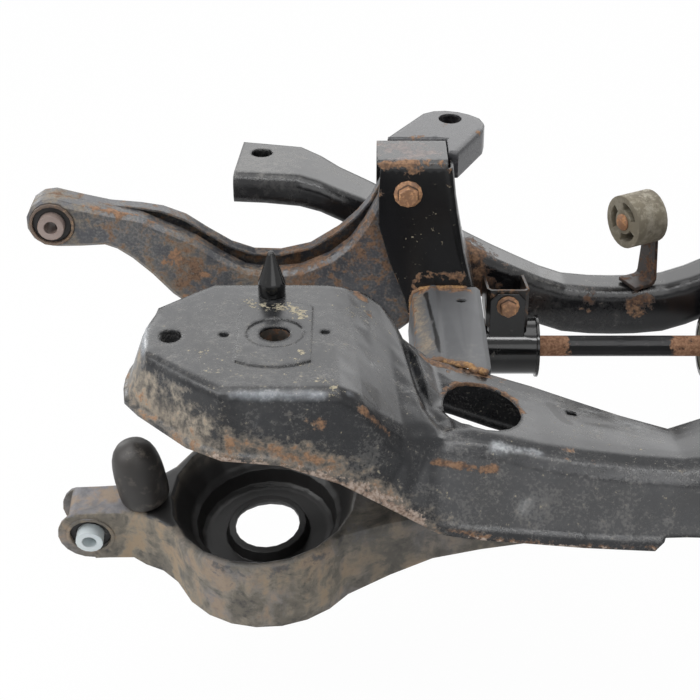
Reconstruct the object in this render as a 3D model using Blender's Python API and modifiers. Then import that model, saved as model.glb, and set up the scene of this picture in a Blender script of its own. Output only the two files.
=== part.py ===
"""Rear axle subframe with its four suspension arms, in metres.

X runs across the car, Y towards the rear crossmember and Z up. The origin is the
middle of the two front body mounts, on the plane where the body sits.
The left half (X below zero) is modelled and the right half mirrors it.
"""
import math

import bmesh
import bpy
from mathutils import Matrix
from mathutils import Vector
from mathutils.bvhtree import BVHTree

# Clearance between pieces that touch.
CLEARANCE = 0.0003

# Pressed front beam: an inverted tray, open below.
BEAM_SHEET = 0.0032
MOUNT_X = 0.3833
MOUNT_BORE = 0.0148
PAD_RISE = 0.0015
PAD_HALF_WIDTH = 0.0345
PAD_ARC = 0.0620
PAD_DISH = 0.0275
FOOT_Y_MIDDLE = -0.1060
FOOT_Y_END = -0.1090
END_LEAN = 0.0180
CHAMFER_LEAN = 0.0100
REAR_LEAN = 0.0030
FLANGE_OUT = 0.0040
GROOVE_DEPTH = 0.0120
GROOVE_BEAD = 0.0035
REAR_ROUND = 0.0060
BEAM_CROWN = 0.0030
LIGHTENING_HOLE = (-0.1860, 0.0020, 0.0380, 0.0510)
END_HOLE = (-0.4810, -0.0050, 0.0110, 0.0130)
DRAIN_HOLES = ((-0.4308, -0.0022, 0.0052), (-0.3361, 0.0028, 0.0048))
SQUARE_HOLE = (-0.0965, 0.0220, 0.0100)
NOTCH_HALF_WIDTH = 0.0200

# Fixings of the front beam.
SLEEVE_WALL = 0.0070
SLEEVE_LENGTH = 0.0500
PIN_Y = 0.0795
PIN_X = 0.3893
PIN_RADIUS = 0.0135
PIN_BODY = 0.0134
PIN_CONE = 0.0325
PIN_TIP = 0.0030

# Formed rear crossmember tube.
TUBE_WALL = 0.0030
REAR_MOUNT_X = 0.4151
REAR_MOUNT_Y = 0.4260
REAR_MOUNT_BORE = 0.0125
REAR_SLEEVE_WALL = 0.0040

# Tower bracket that holds the upper arm.
TOWER_SHEET = 0.0030
TOWER_FRONT_Y = 0.2620
TOWER_DEPTH = 0.0660
TOWER_TOP_Z = 0.0590
UPPER_PIVOT_X = 0.2510
UPPER_PIVOT_Z = 0.0230

# Side rail between tower and front beam.
RAIL_SHEET = 0.0028
RAIL_FRONT_Y = 0.1085
RAIL_TOP_Z = -0.0890
RAIL_FOOT_Z = -0.1450

# Upper mount arm behind the tower.
MOUNT_ARM_SHEET = 0.0030
MOUNT_ARM_DEPTH = 0.0300
MOUNT_ARM_HOLE = (-0.2010, 0.0567, 0.0130)

# Upper arm: two pressed halves, seam to seam.
UPPER_SHEET = 0.0025
UPPER_THICKNESS = 0.0400
UPPER_OUTER_X = 0.6370
UPPER_OUTER_Z = -0.0200
UPPER_EYE = 0.0245
UPPER_EYE_WALL = 0.0030
UPPER_EYE_LENGTH = 0.0440
UPPER_SLEEVE = 0.0145
UPPER_BORE = 0.0075
UPPER_SLEEVE_LENGTH = 0.0580
UPPER_INNER_EYE = 0.0240
UPPER_INNER_SLEEVE = 0.0110
UPPER_END = 0.0285

# Lower arm: an inverted tray with the spring seat pressed into it.
LOWER_SHEET = 0.0032
LOWER_PIVOT = (-0.0850, 0.0120, -0.2000)
LOWER_TILT = math.radians(11.0)
LOWER_DROOP = math.radians(3.2)
LOWER_LENGTH = 0.4894
SEAT_INSET = 0.1764
SEAT_OUT = LOWER_LENGTH - SEAT_INSET
SEAT_HOLE = 0.0330
LOWER_TOP = 0.0300
FORK_HALF_WIDTH = 0.0208
EYE_HALF_WIDTH = 0.0280
# Half length of the cutters that pass right through the lower arm.
CUT_REACH = 0.0500
LOWER_EYE = 0.0245
LOWER_EYE_WALL = 0.0035
LOWER_SLEEVE = 0.0138
LOWER_BORE = 0.0074
LOWER_SLEEVE_LENGTH = 0.0610
EAR_RADIUS = 0.0325
CLEVIS_SHEET = 0.0040
CLEVIS_WIDTH = 0.0540
BUMP_INSET = 0.0594
BUMP_OUT = LOWER_LENGTH - BUMP_INSET
BUMP_RADIUS = 0.0252
BUMP_LENGTH = 0.0740
BUMP_LEAN = math.radians(5.0)
PLUG_OUT = 0.1290
PLUG_RADIUS = 0.0190

# Bolts.
CLAMP_BOLT_FLANGE = 0.0130
CLAMP_BOLT_HEX = 0.0085
BOLT_SHANK = 0.0060
BOLT_FLANGE = 0.0155
BOLT_HEX = 0.0100
BOLT_FLANGE_THICK = 0.0030
BOLT_HEX_THICK = 0.0080

# Stabiliser bar and its clamps.
BAR_RADIUS = 0.0120
BAR_Y = 0.3200
BAR_Z = -0.1970
CLAMP_X = 0.1278
CLAMP_LENGTH = 0.0640
CLAMP_RADIUS = 0.0325
CLAMP_WALL = 0.0025
CLAMP_FLANGE = 0.0360
CLAMP_TAB_WIDTH = 0.0400
BRACKET_SHEET = 0.0030
CLAMP_BOLT_Z = -0.1330

# Exhaust hanger.
HANGER_CENTRE = (0.0200, 0.3880, -0.0660)
HANGER_TURN = math.radians(28.0)
HANGER_RADIUS = 0.0310
HANGER_THICK = 0.0400
HANGER_PIN = 0.0060
HANGER_STRAP_SHEET = 0.0040
HANGER_STRAP_WIDTH = 0.0320

ROUND = 16

# Paint, rust, rubber and zinc, as base colour, roughness and metallic value.
PAINTS = {
    "black_paint": ((0.060, 0.062, 0.066), 0.35, 0.0),
    "worn_paint": ((0.110, 0.090, 0.070), 0.60, 0.0),
    "rusty_steel": ((0.330, 0.150, 0.070), 0.85, 0.2),
    "bare_sleeve": ((0.420, 0.330, 0.290), 0.55, 0.6),
    "zinc_sleeve": ((0.660, 0.720, 0.720), 0.40, 0.6),
    "black_rubber": ((0.025, 0.022, 0.020), 0.75, 0.0),
    "aged_rubber": ((0.250, 0.240, 0.180), 0.85, 0.0),
}


def clear_scene():
    for old in list(bpy.data.objects):
        bpy.data.objects.remove(old, do_unlink=True)


def make_collection(name):
    group = bpy.data.collections.new(name)
    bpy.context.scene.collection.children.link(group)
    return group


def paint(name):
    material = bpy.data.materials.get(name)
    if material:
        return material
    colour, roughness, metallic = PAINTS[name]
    material = bpy.data.materials.new(name)
    material.use_nodes = True
    shader = material.node_tree.nodes["Principled BSDF"]
    shader.inputs["Base Color"].default_value = (*colour, 1.0)
    shader.inputs["Roughness"].default_value = roughness
    shader.inputs["Metallic"].default_value = metallic
    return material


clear_scene()
PIECES = make_collection("subframe")
CUTTERS = make_collection("cutters")


def add_piece(name, bm, finish, parent=None, place=None, smooth=35.0):
    """One named sub-part from a bmesh, in its parent's space."""
    mesh = bpy.data.meshes.new(name)
    bm.to_mesh(mesh)
    bm.free()
    mesh.materials.append(paint(finish))
    if smooth and mesh.polygons:
        mesh.shade_smooth()
        mesh.set_sharp_from_angle(angle=math.radians(smooth))
    piece = bpy.data.objects.new(name, mesh)
    PIECES.objects.link(piece)
    piece.parent = parent
    if place is not None:
        piece.matrix_basis = place
    return piece


def add_cutter(name, bm, parent=None, mirrored=False):
    mesh = bpy.data.meshes.new(name)
    bm.to_mesh(mesh)
    bm.free()
    cutter = bpy.data.objects.new(name, mesh)
    CUTTERS.objects.link(cutter)
    cutter.parent = parent
    cutter.hide_render = True
    cutter.display_type = "WIRE"
    if mirrored:
        twin = cutter.modifiers.new("other_side", "MIRROR")
        twin.use_mirror_merge = False
    return cutter


def boolean(piece, other, operation):
    cut = piece.modifiers.new(operation.lower() + "_" + other.name, "BOOLEAN")
    cut.operation = operation
    cut.solver = "EXACT"
    cut.object = other


def solidify(piece, thickness):
    wall = piece.modifiers.new("sheet", "SOLIDIFY")
    wall.thickness = thickness
    wall.offset = -1.0
    wall.use_even_offset = True


def cylinder(radius, low, high, place=None, segments=ROUND, top_radius=None):
    """A closed cylinder or cone along its own Z, from low to high."""
    bm = bmesh.new()
    bmesh.ops.create_cone(bm, cap_ends=True, segments=segments, radius1=radius,
                          radius2=radius if top_radius is None else top_radius,
                          depth=high - low)
    bmesh.ops.translate(bm, vec=(0.0, 0.0, (high + low) / 2.0), verts=bm.verts)
    if place is not None:
        bmesh.ops.transform(bm, matrix=place, verts=bm.verts)
    return bm


def block(low, high):
    """A closed box between two corners."""
    bm = bmesh.new()
    bmesh.ops.create_cube(bm, size=1.0)
    size = [b - a for a, b in zip(low, high)]
    middle = [(a + b) / 2.0 for a, b in zip(low, high)]
    bmesh.ops.scale(bm, vec=size, verts=bm.verts)
    bmesh.ops.translate(bm, vec=middle, verts=bm.verts)
    return bm


def prism(outline, low, high):
    """A flat outline in XY drawn up from low to high."""
    bm = bmesh.new()
    face = bm.faces.new([bm.verts.new((x, y, low)) for x, y in outline])
    if face.normal.z > 0.0 or signed_area(outline) > 0.0:
        face.normal_flip()
    raised = bmesh.ops.extrude_face_region(bm, geom=[face])
    top = [v for v in raised["geom"] if isinstance(v, bmesh.types.BMVert)]
    bmesh.ops.translate(bm, vec=(0.0, 0.0, high - low), verts=top)
    bmesh.ops.recalc_face_normals(bm, faces=bm.faces)
    return bm


def signed_area(outline):
    total = 0.0
    for (ax, ay), (bx, by) in zip(outline, outline[1:] + outline[:1]):
        total += ax * by - bx * ay
    return total / 2.0


def arc(centre, radius, start, end, steps):
    """Points of an arc, with its angles in degrees."""
    points = []
    for i in range(steps + 1):
        angle = math.radians(start + (end - start) * i / steps)
        points.append((centre[0] + radius * math.cos(angle), centre[1] + radius * math.sin(angle)))
    return points


def ellipse(x, y, half_x, half_y, steps=ROUND):
    points = []
    for i in range(steps):
        angle = 2.0 * math.pi * i / steps
        points.append((x + half_x * math.cos(angle), y + half_y * math.sin(angle)))
    return points


def between(table, x):
    """Value read along a table of (x, value) rows."""
    if x <= table[0][0]:
        return table[0][1]
    for (ax, av), (bx, bv) in zip(table, table[1:]):
        if x <= bx:
            return av + (bv - av) * (x - ax) / (bx - ax)
    return table[-1][1]


def curve_through(points, steps):
    """A smooth path through points, with steps pieces between neighbours."""
    path = []
    for i in range(len(points) - 1):
        before = points[max(i - 1, 0)]
        start = points[i]
        end = points[i + 1]
        after = points[min(i + 2, len(points) - 1)]
        for k in range(steps):
            t = k / steps
            path.append(tuple(
                0.5 * (2.0 * b + (c - a) * t + (2.0 * a - 5.0 * b + 4.0 * c - d) * t * t
                       + (3.0 * b - a - 3.0 * c + d) * t ** 3)
                for a, b, c, d in zip(before, start, end, after)))
    path.append(tuple(points[-1]))
    return path


def outward(points, closed=True):
    """Unit normals of an anticlockwise outline, pointing out of it."""
    normals = []
    count = len(points)
    for i in range(count):
        if closed:
            before = points[i - 1]
            after = points[(i + 1) % count]
        else:
            before = points[max(i - 1, 0)]
            after = points[min(i + 1, count - 1)]
        along = Vector((after[0] - before[0], after[1] - before[1]))
        along.normalize()
        normals.append(Vector((along.y, -along.x)))
    return normals


def turned(name, profile, finish, parent=None, place=None, segments=ROUND, closed=False):
    """A turned piece: a profile of (radius, height) rows swept about its own Z."""
    mesh = bpy.data.meshes.new(name)
    rows = [(radius, 0.0, height) for radius, height in profile]
    edges = [(i, i + 1) for i in range(len(rows) - 1)]
    if closed:
        edges.append((len(rows) - 1, 0))
    mesh.from_pydata(rows, edges, [])
    mesh.materials.append(paint(finish))
    piece = bpy.data.objects.new(name, mesh)
    PIECES.objects.link(piece)
    piece.parent = parent
    if place is not None:
        piece.matrix_basis = place
    sweep = piece.modifiers.new("turn", "SCREW")
    sweep.steps = segments
    sweep.render_steps = segments
    sweep.use_merge_vertices = True
    sweep.merge_threshold = 0.00005
    sweep.use_smooth_shade = True
    return piece


def tube_profile(outer, inner, low, high):
    """Closed profile of a plain tube: down its outside and up its inside."""
    return [(outer, high), (outer, low), (inner, low), (inner, high)]


def rings_to_faces(bm, rings, closed=True):
    """Quads between neighbouring rows of vertices."""
    for upper, lower in zip(rings, rings[1:]):
        count = len(upper)
        last = count if closed else count - 1
        for i in range(last):
            k = (i + 1) % count
            bm.faces.new((upper[i], lower[i], lower[k], upper[k]))


def pressed_shell(outline, levels, place, hole_rings=()):
    """Open pressing: a flat face with its rim folded back over several levels.

    Each level is (inset, depth), and the depth may be a function of the point.
    place turns (a, b, depth) into a position. hole_rings are rows of points, from
    the edge of an opening in the face inwards, that carry on the same sheet.
    """
    bm = bmesh.new()
    normals = outward(outline)
    rings = []
    for inset, depth in levels:
        row = []
        for (a, b), n in zip(outline, normals):
            deep = depth(a) if callable(depth) else depth
            row.append(bm.verts.new(place(a - n.x * inset, b - n.y * inset, deep)))
        rings.append(row)
    rings_to_faces(bm, rings)
    rim = rings[0]
    edges = [bm.edges.get((rim[i - 1], rim[i])) for i in range(len(rim))]
    if hole_rings:
        inner = [[bm.verts.new(place(*p)) for p in row] for row in hole_rings]
        rings_to_faces(bm, inner[::-1])
        mouth = inner[0]
        edges += [bm.edges.get((mouth[i - 1], mouth[i])) for i in range(len(mouth))]
        bmesh.ops.triangle_fill(bm, edges=edges, use_beauty=True)
    else:
        bm.faces.new(rim)
    bm.normal_update()
    return bm


def face_towards(bm, direction):
    """Turn an open sheet so that its outermost face along direction looks that way."""
    bmesh.ops.recalc_face_normals(bm, faces=bm.faces)
    bm.normal_update()
    way = Vector(direction)
    facing = [f for f in bm.faces if abs(f.normal.dot(way)) > 0.7]
    outermost = max(facing, key=lambda f: f.calc_center_median().dot(way))
    if outermost.normal.dot(way) < 0.0:
        bmesh.ops.reverse_faces(bm, faces=bm.faces)
    return bm


def along_y(x, y, z):
    """Place whose Z axis points along +Y, towards the rear crossmember."""
    return Matrix.Translation((x, y, z)) @ Matrix.Rotation(math.radians(-90.0), 4, "X")


def along_x(x, y, z):
    """Place whose Z axis points along +X."""
    return Matrix.Translation((x, y, z)) @ Matrix.Rotation(math.radians(90.0), 4, "Y")


def empty(name, place):
    guide = bpy.data.objects.new(name, None)
    PIECES.objects.link(guide)
    guide.matrix_basis = place
    return guide


def evaluated_mesh(piece):
    bpy.context.view_layer.update()
    graph = bpy.context.evaluated_depsgraph_get()
    return bpy.data.meshes.new_from_object(piece.evaluated_get(graph))


def mirror_twin(piece, parent=None):
    """The right-hand piece: the finished left one mirrored across X."""
    mesh = evaluated_mesh(piece)
    name = piece.name.replace("left", "right")
    bm = bmesh.new()
    bm.from_mesh(mesh)
    bmesh.ops.transform(bm, matrix=piece.matrix_world, verts=bm.verts)
    bmesh.ops.transform(bm, matrix=Matrix.Diagonal((-1.0, 1.0, 1.0, 1.0)), verts=bm.verts)
    bmesh.ops.reverse_faces(bm, faces=bm.faces)
    if parent:
        bmesh.ops.transform(bm, matrix=parent.matrix_basis.inverted(), verts=bm.verts)
    bm.to_mesh(mesh)
    bm.free()
    mesh.name = name
    twin = bpy.data.objects.new(name, mesh)
    PIECES.objects.link(twin)
    twin.parent = parent
    return twin


# Front beam.
# Each row of the pressing: front corner x, y, z and rear corner x, y, z.
BEAM_ROWS = (
    (0.000, -0.072, -0.103, 0.000, 0.028, -0.122),
    (-0.048, -0.072, -0.099, -0.046, 0.047, -0.118),
    (-0.095, -0.072, -0.093, -0.090, 0.066, -0.112),
    (-0.135, -0.072, -0.086, -0.130, 0.081, -0.105),
    (-0.170, -0.071, -0.077, -0.170, 0.092, -0.098),
    (-0.200, -0.071, -0.071, -0.208, 0.098, -0.090),
    (-0.214, -0.0715, -0.069, -0.232, 0.099, -0.083),
    (-0.224, -0.072, -0.067, -0.251, 0.100, -0.069),
    (-0.232, -0.074, -0.066, -0.260, 0.100, -0.056),
    (-0.241, -0.077, -0.065, -0.270, 0.100, -0.038),
    (-0.262, -0.086, -0.061, -0.284, 0.100, -0.020),
    (-0.283, -0.096, -0.039, -0.299, 0.100, -0.008),
    (-0.302, -0.103, -0.013, -0.318, 0.100, -0.002),
    (-0.322, -0.106, 0.000, -0.335, 0.101, 0.000),
    (-0.375, -0.106, 0.000, -0.388, 0.101, 0.000),
    (-0.428, -0.106, 0.000, -0.447, 0.101, 0.000),
    (-0.452, -0.085, 0.000, -0.464, 0.086, 0.000),
    (-0.476, -0.062, 0.000, -0.480, 0.070, 0.000),
    (-0.499, -0.040, 0.000, -0.495, 0.055, 0.000),
)
# How deep the groove beside the raised end is pressed, by row: share across the beam, share of
# the groove's depth. The middle row rises as a bead towards the rear.
GROOVE_ROWS = {
    8: ((0.05, 0.0), (0.30, -1.0), (0.85, -1.0), (1.00, -0.3)),
    7: ((0.00, 0.0), (0.12, -0.8), (0.30, -0.7), (0.48, 0.0), (1.00, 0.0)),
    6: ((0.00, 0.0), (0.17, -0.3), (0.34, -0.7), (0.50, -0.5), (0.75, -0.2), (1.00, 0.0)),
}
BEAD_ROWS = {7: ((0.34, 0.0), (0.50, 1.0), (0.84, 1.0), (1.00, 0.2))}
FLAT_ROW = 13
CORNER_ROW = 15
BEAM_STEPS = 6
END_BULGE = 0.0090
# Height of the lip along the beam, and of the folded flange above it.
LIP_Z = ((-0.525, -0.059), (-0.454, -0.066), (-0.400, -0.070), (-0.367, -0.074), (-0.325, -0.091),
         (-0.281, -0.118), (-0.230, -0.150), (-0.200, -0.156), (-0.090, -0.167), (0.000, -0.172))
REAR_LIP_Z = ((-0.525, -0.059), (-0.454, -0.066), (-0.400, -0.070), (-0.367, -0.074), (-0.325, -0.091),
              (-0.281, -0.118), (-0.230, -0.148), (-0.193, -0.158), (-0.150, -0.172), (0.000, -0.178))
FLANGE_DROP = ((-0.525, 0.007), (-0.330, 0.008), (-0.260, 0.013), (0.000, 0.013))
CORNER_ROUND = ((-0.525, 0.008), (-0.330, 0.009), (-0.260, 0.018), (0.000, 0.018))


def beam_point(row, t):
    """Point of the beam's top face, t from the front corner (0) to the rear (1)."""
    fx, fy, fz, rx, ry, rz = BEAM_ROWS[row]
    x = fx + (rx - fx) * t
    y = fy + (ry - fy) * t
    z = fz + (rz - fz) * t
    if row < FLAT_ROW:
        z += BEAM_CROWN * 4.0 * t * (1.0 - t) * (FLAT_ROW - row) / FLAT_ROW
    if row in GROOVE_ROWS:
        z += GROOVE_DEPTH * between(GROOVE_ROWS[row], t)
    if row in BEAD_ROWS:
        z += GROOVE_BEAD * between(BEAD_ROWS[row], t)
    if row == len(BEAM_ROWS) - 1:
        x -= END_BULGE * 4.0 * t * (1.0 - t)
    return Vector((x, y, z))


def beam_edge():
    """Corner points round the left half, from the middle of the front to the middle of the rear."""
    rows = len(BEAM_ROWS)
    edge = [(row, 0.0) for row in range(rows)]
    edge += [(rows - 1, k / BEAM_STEPS) for k in range(1, BEAM_STEPS)]
    edge += [(row, 1.0) for row in reversed(range(rows))]
    return edge


def foot_point(row, t, corner, normal):
    """Where the wall below a corner point ends, in plan."""
    if t == 0.0 and row <= CORNER_ROW:
        share = min(1.0, row / FLAT_ROW)
        foot_y = FOOT_Y_MIDDLE + (FOOT_Y_END - FOOT_Y_MIDDLE) * share
        return Vector((corner.x, foot_y)), Vector((0.0, -1.0))
    lean = REAR_LEAN
    if row > CORNER_ROW:
        lean = CHAMFER_LEAN
    if row == len(BEAM_ROWS) - 1 and 0.0 < t < 1.0:
        lean = END_LEAN
    return Vector((corner.x, corner.y)) + normal * lean, normal


def front_beam():
    rows = len(BEAM_ROWS)
    edge = beam_edge()
    corners = [beam_point(row, t) for row, t in edge]
    normals = outward([(c.x, c.y) for c in corners], closed=False)
    if normals[0].y > 0.0:
        normals = [-n for n in normals]
    for i in (0, len(edge) - 1):
        normals[i].x = 0.0
        normals[i].normalize()
    bm = bmesh.new()
    rings = [[], [], [], [], [], []]
    for (row, t), corner, normal in zip(edge, corners, normals):
        foot, out = foot_point(row, t, corner, normal)
        lip_z = between(REAR_LIP_Z if t == 1.0 else LIP_Z, foot.x)
        bend_z = lip_z + between(FLANGE_DROP, foot.x)
        bend = Vector((foot.x, foot.y, bend_z))
        radius = REAR_ROUND if t == 1.0 else between(CORNER_ROUND, corner.x)
        wall = bend - corner
        start = corner - Vector((out.x, out.y, 0.0)) * radius
        if 0 < row < rows and 0.0 < t < 1.0:
            start.z = corner.z
        else:
            inner = beam_point(row, 0.1 if t == 0.0 else 0.9)
            start = corner + (inner - corner).normalized() * radius
        end = corner + wall.normalized() * min(radius, wall.length * 0.4)
        middle = (start + corner * 2.0 + end) / 4.0
        lean = Vector((out.x, out.y, 0.0))
        rings[0].append(bm.verts.new(start))
        rings[1].append(bm.verts.new(middle))
        rings[2].append(bm.verts.new(end))
        rings[3].append(bm.verts.new(bend))
        rings[4].append(bm.verts.new(bend + lean * FLANGE_OUT - Vector((0.0, 0.0, FLANGE_OUT * 0.6))))
        rings[5].append(bm.verts.new(Vector((bend.x, bend.y, lip_z)) + lean * FLANGE_OUT))
    rings_to_faces(bm, rings, closed=False)
    count = len(edge)
    grid = []
    for row in range(rows):
        line = [rings[0][row]]
        first = rings[0][row].co
        last = rings[0][count - 1 - row].co
        if row == rows - 1:
            line += rings[0][rows:rows + BEAM_STEPS - 1]
        else:
            for k in range(1, BEAM_STEPS):
                t = k / BEAM_STEPS
                point = first.lerp(last, t)
                point.z += beam_point(row, t).z - (BEAM_ROWS[row][2] * (1.0 - t) + BEAM_ROWS[row][5] * t)
                line.append(bm.verts.new(point))
        line.append(rings[0][count - 1 - row])
        grid.append(line)
    for upper, lower in zip(grid, grid[1:]):
        for k in range(BEAM_STEPS):
            bm.faces.new((upper[k], lower[k], lower[k + 1], upper[k + 1]))
    face_towards(bm, (0.0, 0.0, 1.0))
    for ring in rings + [grid[0]]:
        for vert in (ring[0], ring[-1]):
            vert.co.x = 0.0
    for vert in grid[0]:
        vert.co.x = 0.0
    beam = add_piece("front_beam", bm, "black_paint")
    twin = beam.modifiers.new("other_half", "MIRROR")
    twin.merge_threshold = 0.0001
    twin.use_clip = True
    solidify(beam, BEAM_SHEET)
    pad = arc((0.0, 0.0), PAD_ARC, pad_angle(), 180.0 - pad_angle(), 5)
    pad += arc((0.0, 0.0), PAD_ARC, 180.0 + pad_angle(), 360.0 - pad_angle(), 5)
    raised = [(-MOUNT_X + x, y) for x, y in pad]
    pocket = [(-MOUNT_X + x * 0.94, y * 0.96) for x, y in pad]
    boolean(beam, add_cutter("pad", prism(raised, -0.001, PAD_RISE), mirrored=True), "UNION")
    dish = cylinder(PAD_DISH, 0.0, 0.01, Matrix.Translation((-MOUNT_X, 0.0, 0.0)), 16)
    boolean(beam, add_cutter("pad_dish", dish, mirrored=True), "DIFFERENCE")
    under = prism(pocket, -BEAM_SHEET - 0.002, PAD_RISE - BEAM_SHEET)
    keep = cylinder(PAD_DISH + 0.003, -0.02, 0.01, Matrix.Translation((-MOUNT_X, 0.0, 0.0)), 16)
    pocket_cutter = add_cutter("pad_pocket", under, mirrored=True)
    boolean(pocket_cutter, add_cutter("pad_pocket_core", keep, mirrored=True), "DIFFERENCE")
    boolean(beam, pocket_cutter, "DIFFERENCE")
    mount = cylinder(MOUNT_BORE, -0.03, 0.03, Matrix.Translation((-MOUNT_X, 0.0, 0.0)))
    boolean(beam, add_cutter("mount_hole", mount, mirrored=True), "DIFFERENCE")
    hole = prism(ellipse(*LIGHTENING_HOLE, 20), -0.130, -0.020)
    boolean(beam, add_cutter("lightening_hole", hole, mirrored=True), "DIFFERENCE")
    hole = prism(ellipse(*END_HOLE, 12), -0.03, 0.03)
    boolean(beam, add_cutter("end_hole", hole, mirrored=True), "DIFFERENCE")
    for number, (x, y, radius) in enumerate(DRAIN_HOLES):
        hole = cylinder(radius, -0.03, 0.03, Matrix.Translation((x, y, 0.0)), 8)
        boolean(beam, add_cutter("drain_hole_%d" % number, hole, mirrored=True), "DIFFERENCE")
    x, y, side = SQUARE_HOLE
    hole = block((x - side / 2, y - side / 2, -0.130), (x + side / 2, y + side / 2, -0.080))
    boolean(beam, add_cutter("square_hole", hole, mirrored=True), "DIFFERENCE")
    wide = NOTCH_HALF_WIDTH + 0.012
    notch = prism([(-wide, -0.1740), (wide, -0.1740), (NOTCH_HALF_WIDTH, -0.1580),
                   (-NOTCH_HALF_WIDTH, -0.1580)], 0.0, 0.04)
    bmesh.ops.transform(notch, matrix=along_front(-0.1250), verts=notch.verts)
    bmesh.ops.recalc_face_normals(notch, faces=notch.faces)
    boolean(beam, add_cutter("flange_notch", notch), "DIFFERENCE")
    return beam


def along_front(y):
    """Place that stands an outline of (x, z) upright, drawn from y towards the rear."""
    turn = Matrix(((1.0, 0.0, 0.0, 0.0), (0.0, 0.0, 1.0, y), (0.0, 1.0, 0.0, 0.0), (0.0, 0.0, 0.0, 1.0)))
    return turn


def pad_angle():
    """Angle at which the pad's arcs meet its straight sides."""
    return math.degrees(math.acos(PAD_HALF_WIDTH / PAD_ARC))


beam = front_beam()

# Locating pins and mount sleeves of the front beam.
PIN_ROWS = [(0.0, PIN_BODY + PIN_CONE), (PIN_TIP, PIN_BODY + PIN_CONE - 0.0008),
            (PIN_RADIUS, PIN_BODY), (PIN_RADIUS, 0.0), (0.0, 0.0)]
pin_place = Matrix.Translation((-PIN_X, PIN_Y, CLEARANCE))
turned("left_locating_pin", PIN_ROWS, "rusty_steel", place=pin_place)
sleeve_rows = tube_profile(MOUNT_BORE + CLEARANCE + SLEEVE_WALL, MOUNT_BORE + CLEARANCE,
                           -SLEEVE_LENGTH, 0.0)
sleeve_place = Matrix.Translation((-MOUNT_X, 0.0, -BEAM_SHEET - CLEARANCE))
turned("left_mount_sleeve", sleeve_rows, "worn_paint", place=sleeve_place, closed=True)

# Rear crossmember: x, front y, rear y, top z, bottom z.
# Its flat end reaches past the mount hole by one value and inwards by the other.
TUBE_END = 0.0259
TUBE_FLAT = 0.0451
TUBE_ROWS = (
    (-REAR_MOUNT_X - TUBE_END, 0.3610, 0.4680, 0.0000, -0.0360),
    (-REAR_MOUNT_X + TUBE_FLAT, 0.3530, 0.4530, 0.0000, -0.0380),
    (-0.3250, 0.3520, 0.4340, -0.0170, -0.0550),
    (-0.2650, 0.3550, 0.4280, -0.0450, -0.0920),
    (-0.1770, 0.3660, 0.4240, -0.0950, -0.1500),
    (-0.1150, 0.3700, 0.4240, -0.1270, -0.1870),
    (-0.0600, 0.3740, 0.4240, -0.1500, -0.2120),
    (0.0000, 0.3740, 0.4240, -0.1540, -0.2160),
)
TUBE_CORNER = 0.0100
END_SKEW = 0.0040


def tube_section(row, skew=0.0):
    """Rounded rectangle of the crossmember at one station, anticlockwise seen from outside."""
    x, front, rear, top, bottom = row
    points = []
    corners = ((front, bottom, 180.0), (rear, bottom, 270.0), (rear, top, 0.0), (front, top, 90.0))
    for y, z, start in corners:
        cy = y + TUBE_CORNER if y == front else y - TUBE_CORNER
        cz = z + TUBE_CORNER if z == bottom else z - TUBE_CORNER
        points += arc((cy, cz), TUBE_CORNER, start, start + 90.0, 2)
    middle = (front + rear) / 2.0
    half = (rear - front) / 2.0
    return [Vector((x + skew * (y - middle) / half, y, z)) for y, z in points]


def rear_crossmember():
    rows = curve_through([tuple(r) for r in TUBE_ROWS], 2)
    bm = bmesh.new()
    rings = []
    for i, row in enumerate(rows):
        row = list(row)
        if row[0] < -REAR_MOUNT_X + TUBE_FLAT + CLEARANCE:
            row[3] = 0.0
        skew = END_SKEW if i == 0 else 0.0
        rings.append([bm.verts.new(p) for p in tube_section(row, skew)])
    rings_to_faces(bm, rings)
    face_towards(bm, (0.0, 0.0, 1.0))
    tube = add_piece("rear_crossmember", bm, "black_paint")
    twin = tube.modifiers.new("other_half", "MIRROR")
    twin.merge_threshold = 0.0001
    twin.use_clip = True
    solidify(tube, TUBE_WALL)
    spot = Matrix.Translation((-REAR_MOUNT_X, REAR_MOUNT_Y, 0.0))
    core = cylinder(REAR_MOUNT_BORE + REAR_SLEEVE_WALL, -0.0345, -0.0012, spot, 16)
    boolean(tube, add_cutter("crush_sleeve", core, mirrored=True), "UNION")
    bore = cylinder(REAR_MOUNT_BORE, -0.06, 0.02, spot, 16)
    boolean(tube, add_cutter("rear_mount_hole", bore, mirrored=True), "DIFFERENCE")
    return tube


crossmember = rear_crossmember()

# Tower bracket: folded front plate, top, rear plate and inner wall.
TOWER_LEFT_EDGE = ((-0.2810, 0.052), (-0.2820, 0.020), (-0.2825, -0.013), (-0.2700, -0.0585),
                   (-0.2525, -0.104), (-0.2430, -0.150))
TOWER_RIGHT_EDGE = ((-0.2031, 0.052), (-0.1995, 0.020), (-0.1965, -0.001), (-0.1880, -0.048),
                    (-0.1745, -0.104), (-0.1650, -0.150))
ARM_TIP = 0.0380
TOWER_WALL_STEP_Y = TOWER_FRONT_Y + TOWER_DEPTH - ARM_TIP - 0.0015
TOWER_REAR_ROWS = ((0.052, 0.0000), (0.000, 0.0000), (-0.030, 0.0080), (-0.072, 0.0230))
BEND = 0.0060


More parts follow.
